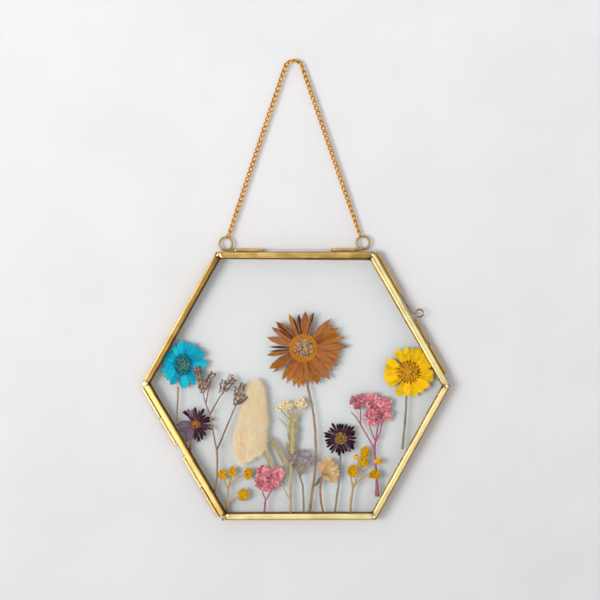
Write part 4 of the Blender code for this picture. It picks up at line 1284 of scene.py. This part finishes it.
def add_brown_daisy():
    rng = random.Random(2)
    centre = (3.7, 20.0)
    petals = [
        (38, 19.6, 3.0), (7, 20.6, 3.2), (-8, 20.4, 3.4), (-22, 19.8, 3.2), (-37, 20.2, 3.4),
        (-56, 19.6, 3.0), (-76, 19.8, 3.0), (-90, 20.2, 2.8), (47, 21.2, 3.4), (30, 21.4, 3.4),
        (22, 20.9, 2.8), (14, 22.6, 3.0), (1, 23.4, 4.4), (-16, 20.2, 3.6), (-27, 20.8, 3.4),
        (-49, 22.0, 4.2), (-64, 20.8, 2.9), (-69, 21.2, 3.1), (-83, 21.2, 2.4), (-97, 21.6, 3.5),
        (-105, 21.4, 2.9), (-115, 20.8, 2.8), (-125, 20.4, 3.3), (-141, 21.0, 2.4), (-149, 21.2, 4.6),
        (-169, 20.0, 2.6), (164, 20.2, 3.6), (148, 20.2, 3.3), (135, 20.0, 4.2), (114, 19.6, 2.9),
        (100, 17.4, 3.0), (87, 19.6, 3.5), (76, 19.2, 3.1)
    ]
    material = petal_material(
        "brown_petal", (0.36, 0.115, 0.032), (0.54, 0.19, 0.026), (0.17, 0.045, 0.014), (0.24, 0.07, 0.02),
        (0.36, 0.14, 0.045), 0.35, veins=10.0
    )
    sheaf = Sheaf()
    for k, (turn, length, width) in enumerate(petals):
        petal(
            sheaf, centre, turn, 4.5, length, width, BACK_LAYER - 0.02 * k + 0.05 * (k % 2), POINTED, rng,
            relief=0.10, bend=rng.uniform(-0.12, 0.12), ridges=2, wear=0.3 if k % 7 == 3 else 0.0, rows=12
        )
    sheaf.make("brown_daisy_petals_visual", material, BACK, "brown_daisy_petals")
    dark = Sheaf()
    for turn, length, width in (
        (178, 18.3, 1.2), (-174, 18.4, 0.9), (108, 17.2, 1.3), (99, 18.2, 1.9), (74, 19.9, 1.2),
        (137, 20.4, 1.0), (144, 17.6, 0.8)
    ):
        petal(
            dark, centre, turn, 6.0, length, width, BACK_LAYER - 0.72, POINTED, rng, relief=0.08,
            bend=rng.uniform(-0.2, 0.2), ridges=1
        )
    purple = petal_material(
        "brown_daisy_dark", (0.14, 0.04, 0.035), (0.09, 0.025, 0.045), (0.05, 0.012, 0.02),
        (0.05, 0.015, 0.02), veins=6.0
    )
    dark.make("brown_daisy_dark_petals", purple, BACK)
    disc = Sheaf()
    florets(disc, centre, 5.5, 5.5, 420, 0.30, 0.1, 0.28, rng, tall=0.3)
    for ring, count, size in ((5.7, 46, 0.42), (6.4, 50, 0.46), (7.1, 54, 0.50)):
        for k in range(count):
            turn = 2 * math.pi * (k + 0.5 * (ring > 6)) / count
            place = around(centre, ring, turn)
            lump(
                disc, *place, -0.12, size, size, 0.42, (rng.uniform(0.35, 0.75), 0.99), rng, 0.3, rows=5,
                sides=6
            )
    stops = [
        (0.0, (0.76, 0.46, 0.10)), (0.3, (0.74, 0.38, 0.18)), (0.86, (0.76, 0.38, 0.16)),
        (0.97, (0.66, 0.27, 0.025)), (1.0, (0.64, 0.25, 0.02))
    ]
    material = speckled_material("brown_disc", stops, (0.03, 0.035, 0.02), 0.26, light=(0.66, 0.48, 0.16))
    disc.make("brown_daisy_disc_visual", material, BACK, "brown_daisy_disc")
    add_stems(
        "brown_daisy_stem_visual", ["brown_daisy_stem"], stem_brown, BACK_LAYER, rng,
        [
            (5.6, 0.4, 1.3), (7.2, -6.4, 1.2), (8.7, -13.6, 1.2), (9.8, -23.5, 1.3), (10.2, -34.0, 1.3),
            (9.9, -44.0, 1.4), (8.8, -53.0, 1.4), (6.8, -67.6, 1.6)
        ]
    )


def add_lilac():
    rng = random.Random(12)
    sheaf = Sheaf()
    twigs = Sheaf()
    heads = [
        (-2.6, -37.4), (-0.4, -36.2), (2.0, -35.0), (4.6, -35.2), (7.0, -36.6), (8.8, -38.8), (-3.0, -40.0),
        (0.4, -38.8), (3.2, -38.0), (6.0, -38.9), (8.4, -41.2), (1.4, -41.2), (4.4, -41.4), (-1.4, -42.2)
    ]
    for u, v in heads:
        cluster(sheaf, u, v, 1.1, 1.0, 16, 1.0, FRONT_LAYER, rng, out=0.5, thick=0.3, wear=0.7)
        fork = (2.0 + 0.25 * (u - 2.0), -46.0 + 0.15 * (v + 38.0))
        twig = [(1.7, -48.8, 0.3), (*fork, 0.26), (u, v - 0.4, 0.2)]
        stem(twigs, twig, FRONT_LAYER + 0.1, rng, steps=5, sides=6)
    twigs.make("lilac_head_twigs", stem_brown, BACK)
    material = petal_material(
        "lilac_bract", (0.40, 0.29, 0.20), (0.68, 0.57, 0.50), (0.38, 0.27, 0.24), (0.32, 0.22, 0.20),
        (0.34, 0.25, 0.50), 0.4, veins=5.0
    )
    sheaf.make("lilac_head_visual", material, BACK, "lilac_statice_head")
    add_stems(
        "lilac_stem_visual", ["lilac_statice_stem"], stem_green, FRONT_LAYER, rng,
        [(-0.4, -41.6, 0.8), (1.5, -47.6, 0.9), (3.2, -53.2, 1.0), (3.6, -60.0, 1.0), (3.7, -67.6, 1.1)],
        [(5.4, -42.4, 0.8), (3.2, -45.6, 0.8), (1.8, -48.6, 0.8)]
    )


def add_straw_flower():
    rng = random.Random(27)
    sheaf = Sheaf()
    foot = (13.6, -46.6)
    for layer, count, short in ((0.1, 13, 0.0), (-0.1, 12, 1.0), (-0.3, 10, 2.6)):
        for k in range(count):
            share = (k + 0.5 * (layer < 0)) / (count - 1)
            turn = 100 - 134 * share + rng.uniform(-3, 3)
            length = 8.4 + 1.4 * math.sin(math.pi * share) - short - (1.6 if share < 0.15 else 0.0)
            petal(
                sheaf, foot, turn, 0.4, length, 2.0, FRONT_LAYER + layer, SLENDER, rng, relief=0.12,
                ridges=2, bend=rng.uniform(-0.15, 0.15), rows=8, columns=6
            )
    material = petal_material(
        "straw_bract", (0.40, 0.24, 0.10), (0.76, 0.54, 0.29), (0.52, 0.28, 0.10), (0.46, 0.24, 0.08),
        (0.62, 0.38, 0.16), 0.3, veins=8.0
    )
    sheaf.make("straw_head_visual", material, BACK, "straw_flower_head")
    add_stems(
        "straw_stem_visual", ["straw_flower_stem"], stem_red, FRONT_LAYER, rng,
        [(14.2, -46.2, 1.2), (13.0, -50.4, 1.1), (12.6, -55.0, 1.0), (12.9, -61.0, 1.1), (14.1, -67.6, 1.2)]
    )
    leaf = Sheaf()
    add_leaf(
        leaf, [(13.9, -47.6, 0.8), (12.6, -49.6, 2.1), (11.0, -51.6, 1.7), (8.9, -53.6, 0.3)], FRONT_LAYER,
        rng
    )
    leaf.make("straw_leaf_visual", leaf_green, BACK)


def add_maroon_daisy():
    rng = random.Random(9)
    centre = (23.4, -27.9)
    sheaf = Sheaf()
    for k in range(27):
        turn = 360.0 * k / 27 + rng.uniform(-3, 3)
        petal(
            sheaf, centre, turn, 1.8, rng.uniform(8.2, 10.1), rng.uniform(1.25, 1.75),
            BACK_LAYER + 0.14 * (k % 3 - 1), ROUNDED, rng, notches=2, notch=0.10, relief=0.12, ridges=1,
            bend=rng.uniform(-0.25, 0.25), taper=0.08
        )
    material = petal_material(
        "maroon_petal", (0.09, 0.03, 0.05), (0.014, 0.003, 0.008), (0.01, 0.002, 0.006),
        (0.016, 0.003, 0.009), (0.16, 0.09, 0.12), 0.2, veins=6.0
    )
    sheaf.make("maroon_petals_visual", material, BACK, "maroon_daisy_petals")
    disc = Sheaf()
    florets(disc, centre, 3.1, 3.1, 130, 0.34, 0.05, 0.4, rng, tall=0.32)
    stops = [
        (0.0, (0.30, 0.13, 0.02)), (0.6, (0.36, 0.18, 0.02)), (0.88, (0.42, 0.22, 0.04)),
        (1.0, (0.62, 0.42, 0.22))
    ]
    material = speckled_material("maroon_disc", stops, (0.16, 0.08, 0.01), 0.12, light=(0.46, 0.26, 0.04))
    disc.make("maroon_disc_visual", material, BACK, "maroon_daisy_disc")
    add_stems(
        "maroon_stem_visual", ["maroon_daisy_stem"], stem_green, BACK_LAYER, rng,
        [(23.4, -36.6, 1.0), (23.0, -43.0, 1.0), (22.6, -49.0, 1.0), (21.7, -57.0, 1.1), (20.1, -67.6, 1.2)]
    )


def add_right_buttons():
    rng = random.Random(19)
    sheaf = Sheaf()
    for u, v, half_u, half_v in (
        (29.7, -45.2, 3.2, 4.2), (36.2, -35.4, 2.9, 3.8), (35.1, -40.6, 3.1, 3.0), (31.5, -37.7, 1.2, 1.2),
        (43.4, -39.9, 2.1, 1.6), (41.3, -47.0, 3.5, 2.9)
    ):
        button(sheaf, u, v, half_u, half_v, FRONT_LAYER + 0.2, rng)
    sheaf.make("yellow_buttons_right_heads", button_yellow, BACK, "yellow_buttons_right")
    add_stems(
        "yellow_buttons_right_twigs", [], stem_gold, FRONT_LAYER, rng,
        [(28.5, -67.6, 1.3), (29.0, -60.0, 1.2), (29.8, -54.2, 1.1), (28.6, -48.2, 0.7)],
        [(29.8, -54.2, 0.9), (31.6, -50.0, 0.8), (34.4, -43.0, 0.6)],
        [(29.8, -54.2, 0.9), (33.6, -49.8, 0.8), (38.0, -46.8, 0.7)],
        [(33.0, -47.0, 0.5), (38.0, -43.4, 0.5), (42.6, -40.6, 0.4)],
        [(31.6, -38.0, 0.6), (34.4, -40.6, 0.6)]
    )


def add_tall_pink():
    rng = random.Random(23)
    heads = Sheaf()
    for u, v, half_u, half_v in (
        (39.8, -8.2, 2.4, 2.9), (46.0, -10.6, 3.2, 3.0), (46.2, -15.0, 3.2, 2.8), (42.6, -12.6, 2.4, 3.0),
        (40.2, -16.6, 3.0, 3.4)
    ):
        cluster(heads, u, v, half_u, half_v, 110, 1.8, 0.4, rng, out=0.7, thick=0.3, broad=0.9)
    for u, v in ((39.8, -9.8), (41.4, -11.8), (42.8, -14.4), (45.6, -14.0), (43.4, -17.2)):
        cluster(heads, u, v, 1.5, 1.5, 16, 1.0, 0.05, rng, thick=0.05, wear=1.5)
    heads.make("tall_pink_head_visual", pink_bract, BACK, "tall_pink_head")
    add_stems(
        "tall_pink_stem_visual", ["tall_pink_stem"], stem_pink, 0.45, rng,
        [
            (43.4, -19.0, 0.8), (42.6, -25.0, 0.9), (41.8, -29.4, 1.0), (41.3, -34.0, 1.2),
            (41.9, -42.5, 1.3), (42.4, -50.0, 1.4), (42.8, -58.8, 2.4)
        ],
        [(38.2, -19.6, 0.6), (40.0, -25.0, 0.7), (41.7, -29.4, 0.8)],
        [(45.6, -18.0, 0.7), (44.4, -24.2, 0.8), (42.2, -29.6, 0.8)],
        [
            (41.2, -33.2, 0.8), (36.8, -25.6, 0.8), (34.0, -20.8, 0.8), (31.6, -16.8, 0.7),
            (28.8, -13.8, 0.5)
        ],
        [(34.0, -20.8, 0.7), (33.9, -15.0, 0.7), (33.2, -10.4, 0.6)]
    )
    left = Sheaf()
    for u, v, half_u, half_v in ((30.6, -8.0, 1.9, 2.0), (33.8, -7.4, 2.0, 2.2), (32.6, -10.4, 1.6, 1.2)):
        cluster(left, u, v, half_u, half_v, 70, 1.35, 0.4, rng, out=0.6, thick=0.3, wear=0.9)
    left.make("tall_pink_left_visual", pink_bract, BACK, "tall_pink_left_twig")


def add_yellow_daisy():
    rng = random.Random(6)
    centre = (59.5, 7.3)
    material = petal_material(
        "yellow_petal", (0.84, 0.45, 0.003), (0.94, 0.60, 0.008), (0.80, 0.42, 0.003), (0.80, 0.44, 0.002),
        (0.90, 0.50, 0.01), 0.25, veins=8.0
    )
    sheaf = Sheaf()
    petals = [
        (118, 13.4), (97, 13.1), (77, 13.0), (64, 13.9), (48, 13.7), (33, 13.4), (19, 13.2), (-2, 13.4),
        (-18, 13.8), (-39, 13.6), (-57, 13.1), (-75, 13.7), (-95, 13.4), (-116, 14.1), (-145, 13.0),
        (-159, 13.9), (-177, 13.7), (169, 13.2), (152, 13.5)
    ]
    for k, (turn, length) in enumerate(petals):
        petal(
            sheaf, centre, turn, 3.0, length + 0.5, rng.uniform(4.0, 4.6), BACK_LAYER + 0.15 * (k % 3 - 1),
            BROAD, rng, notches=2, notch=0.09, relief=0.07, ridges=3, bend=rng.uniform(-0.1, 0.1),
            taper=0.08, rows=12, columns=12
        )
    sheaf.make("yellow_daisy_petals_visual", material, BACK, "yellow_daisy_petals")
    disc = Sheaf()
    florets(disc, centre, 5.0, 5.0, 240, 0.40, 0.1, 0.3, rng, tall=0.3)
    for k in range(22):
        turn = 2 * math.pi * k / 22 + rng.uniform(-0.05, 0.05)
        place = around(centre, 5.65, turn)
        lump(
            disc, *place, -0.1, 0.62, 0.34, 0.3, (0.999, 0.9), rng, 0.25, turn_deg=math.degrees(turn),
            rows=5, sides=6
        )
    stops = [(0.0, (0.74, 0.38, 0.01)), (0.6, (0.76, 0.34, 0.01)), (1.0, (0.66, 0.22, 0.01))]
    material = speckled_material("yellow_disc", stops, (0.20, 0.05, 0.01), 0.06, light=(0.80, 0.46, 0.03))
    disc.make("yellow_daisy_disc_visual", material, BACK, "yellow_daisy_disc")
    stalk = Sheaf()
    stem(
        stalk,
        [(58.2, -5.4, 1.1), (58.0, -11.0, 1.1), (57.6, -18.0, 1.2), (56.8, -26.0, 1.1), (56.0, -33.8, 1.1)],
        BACK_LAYER, rng
    )
    lump(stalk, 57.5, -19.3, 0.3, 0.7, 1.0, 0.4, (0.5, 0.0), rng, 0.3)
    stalk.make("yellow_daisy_stem_visual", stem_green, BACK, "yellow_daisy_stem")


stem_brown = stem_material("stem_brown", (0.42, 0.26, 0.15), (0.34, 0.23, 0.12), (0.16, 0.09, 0.05))
stem_gold = stem_material("stem_gold", (0.56, 0.36, 0.12), (0.50, 0.34, 0.15), (0.26, 0.14, 0.05))
stem_red = stem_material("stem_red", (0.36, 0.15, 0.10), (0.42, 0.22, 0.13), (0.15, 0.04, 0.04))
stem_green = stem_material("stem_green", (0.34, 0.28, 0.16), (0.26, 0.24, 0.15), (0.13, 0.10, 0.06))
stem_pink = stem_material("stem_pink", (0.52, 0.10, 0.22), (0.42, 0.16, 0.18), (0.26, 0.03, 0.08))
stem_felt = stem_material("stem_felt", (0.55, 0.46, 0.24), (0.46, 0.38, 0.19), (0.26, 0.20, 0.10))
leaf_tan = petal_material(
    "leaf_tan", (0.46, 0.38, 0.17), (0.54, 0.42, 0.24), (0.34, 0.25, 0.12), (0.30, 0.23, 0.11)
)
leaf_felt = petal_material(
    "leaf_felt", (0.42, 0.35, 0.17), (0.62, 0.53, 0.29), (0.26, 0.21, 0.10), (0.28, 0.22, 0.11)
)
leaf_green = petal_material(
    "leaf_green", (0.13, 0.15, 0.06), (0.17, 0.19, 0.09), (0.07, 0.08, 0.04), (0.07, 0.07, 0.04)
)
pink_bract = petal_material(
    "pink_bract", (0.60, 0.14, 0.18), (0.80, 0.27, 0.30), (0.62, 0.15, 0.20), (0.56, 0.10, 0.16),
    (0.84, 0.36, 0.37), 0.35, veins=5.0
)
cream_bract = petal_material(
    "cream_bract", (0.72, 0.50, 0.20), (0.94, 0.76, 0.42), (0.80, 0.58, 0.28), (0.70, 0.48, 0.20),
    (0.96, 0.88, 0.64), 0.35, veins=7.0
)
button_stops = [(0.0, (0.86, 0.48, 0.006)), (0.7, (0.86, 0.47, 0.006)), (1.0, (0.80, 0.40, 0.006))]
button_yellow = speckled_material(
    "button_yellow", button_stops, (0.50, 0.20, 0.006), 0.14, light=(1.0, 0.72, 0.05)
)

add_metalwork()
tacks_rng = random.Random(7)
add_side_tubes(LOWER_LEFT, KNUCKLES, *HINGE_GROOVES, tacks_rng)
add_side_tubes(UPPER_RIGHT, LATCH_TUBES, *LATCH_GROOVES, tacks_rng)
add_bolt()
add_pins()
add_hangers()
add_chain()
for pane in ("back_glass", "front_glass"):
    frame["nodes"][pane].data.materials.clear()
    frame["nodes"][pane].data.materials.append(glass)

add_blue_daisy()
add_plum_daisy()
add_sea_lavender()
add_bunny_tail()
add_left_buttons()
add_small_pink()
add_cream_everlasting()
add_brown_daisy()
add_lilac()
add_straw_flower()
add_maroon_daisy()
add_right_buttons()
add_tall_pink()
add_yellow_daisy()


# --- stage and light ------------------------------------------------------------------------------------

WALL_DEPTH = 5.6
FLOOR_V = -175.0
REACH = 900.0


def stage_plane(name, corners, material):
    mesh = bpy.data.meshes.new(name)
    mesh.from_pydata([world(*corner) for corner in corners], [], [(0, 1, 2, 3)])
    mesh.materials.append(material)
    return new_object(name, mesh)


def wall_material():
    """Pale paint that is clear from behind, so that the back can be looked at."""
    shader = Shader("wall_paint", 0.9, specular=0.1)
    tone = shader.spread(shader.grain(0.02, 3.0), 0.3, 0.7, 0.0, 1.0)
    shader.done(shader.mix(tone, (0.80, 0.80, 0.81), (0.83, 0.83, 0.84)))
    behind = shader.nodes.new("ShaderNodeNewGeometry").outputs["Backfacing"]
    return shader.see_through(behind, (1.0, 1.0, 1.0, 1.0))


def area_light(name, place, aim, size, watts, colour=(1.0, 1.0, 1.0)):
    data = bpy.data.lights.new(name, "AREA")
    data.size = size
    data.energy = watts
    data.color = colour
    lamp = new_object(name, data)
    lamp.location = world(*place)
    lamp.rotation_euler = (world(*aim) - lamp.location).to_track_quat("-Z", "Y").to_euler()


floor_shader = Shader("pale_floor", 0.85, specular=0.1)
floor_tone = floor_shader.spread(floor_shader.grain(0.01, 2.0), 0.3, 0.7, 0.0, 1.0)
floor_paint = floor_shader.done(floor_shader.mix(floor_tone, (0.76, 0.76, 0.76), (0.80, 0.80, 0.80)))
wall_corners = [
    (u, v, WALL_DEPTH)
    for u, v in ((-REACH, FLOOR_V), (REACH, FLOOR_V), (REACH, REACH), (-REACH, REACH))
]
floor_corners = [
    (u, FLOOR_V, d)
    for u, d in ((-REACH, -REACH), (REACH, -REACH), (REACH, REACH), (-REACH, REACH))
]
wall = stage_plane("wall", wall_corners, wall_material())
floor = stage_plane("floor", floor_corners, floor_paint)

area_light("window", (-900.0, -130.0, -1570.0), (0.0, 20.0, 0.0), 0.8, 21.0, (1.0, 0.99, 0.98))
area_light("lower_right_box", (480.0, -300.0, -1100.0), (0.0, -100.0, 0.0), 0.5, 1.6, (1.0, 0.98, 0.95))
area_light("lower_left_box", (-380.0, -150.0, -1000.0), (0.0, 0.0, 0.0), 0.4, 1.1)
area_light("back_light", (300.0, 400.0, 800.0), (0.0, 0.0, 0.0), 0.8, 8.0)

surroundings = bpy.data.worlds.new("studio")
surroundings.use_nodes = True
background = surroundings.node_tree.nodes["Background"]
background.inputs["Color"].default_value = (0.98, 0.98, 1.0, 1.0)
background.inputs["Strength"].default_value = 0.54
bpy.context.scene.world = surroundings
bpy.context.scene.view_settings.view_transform = "Standard"
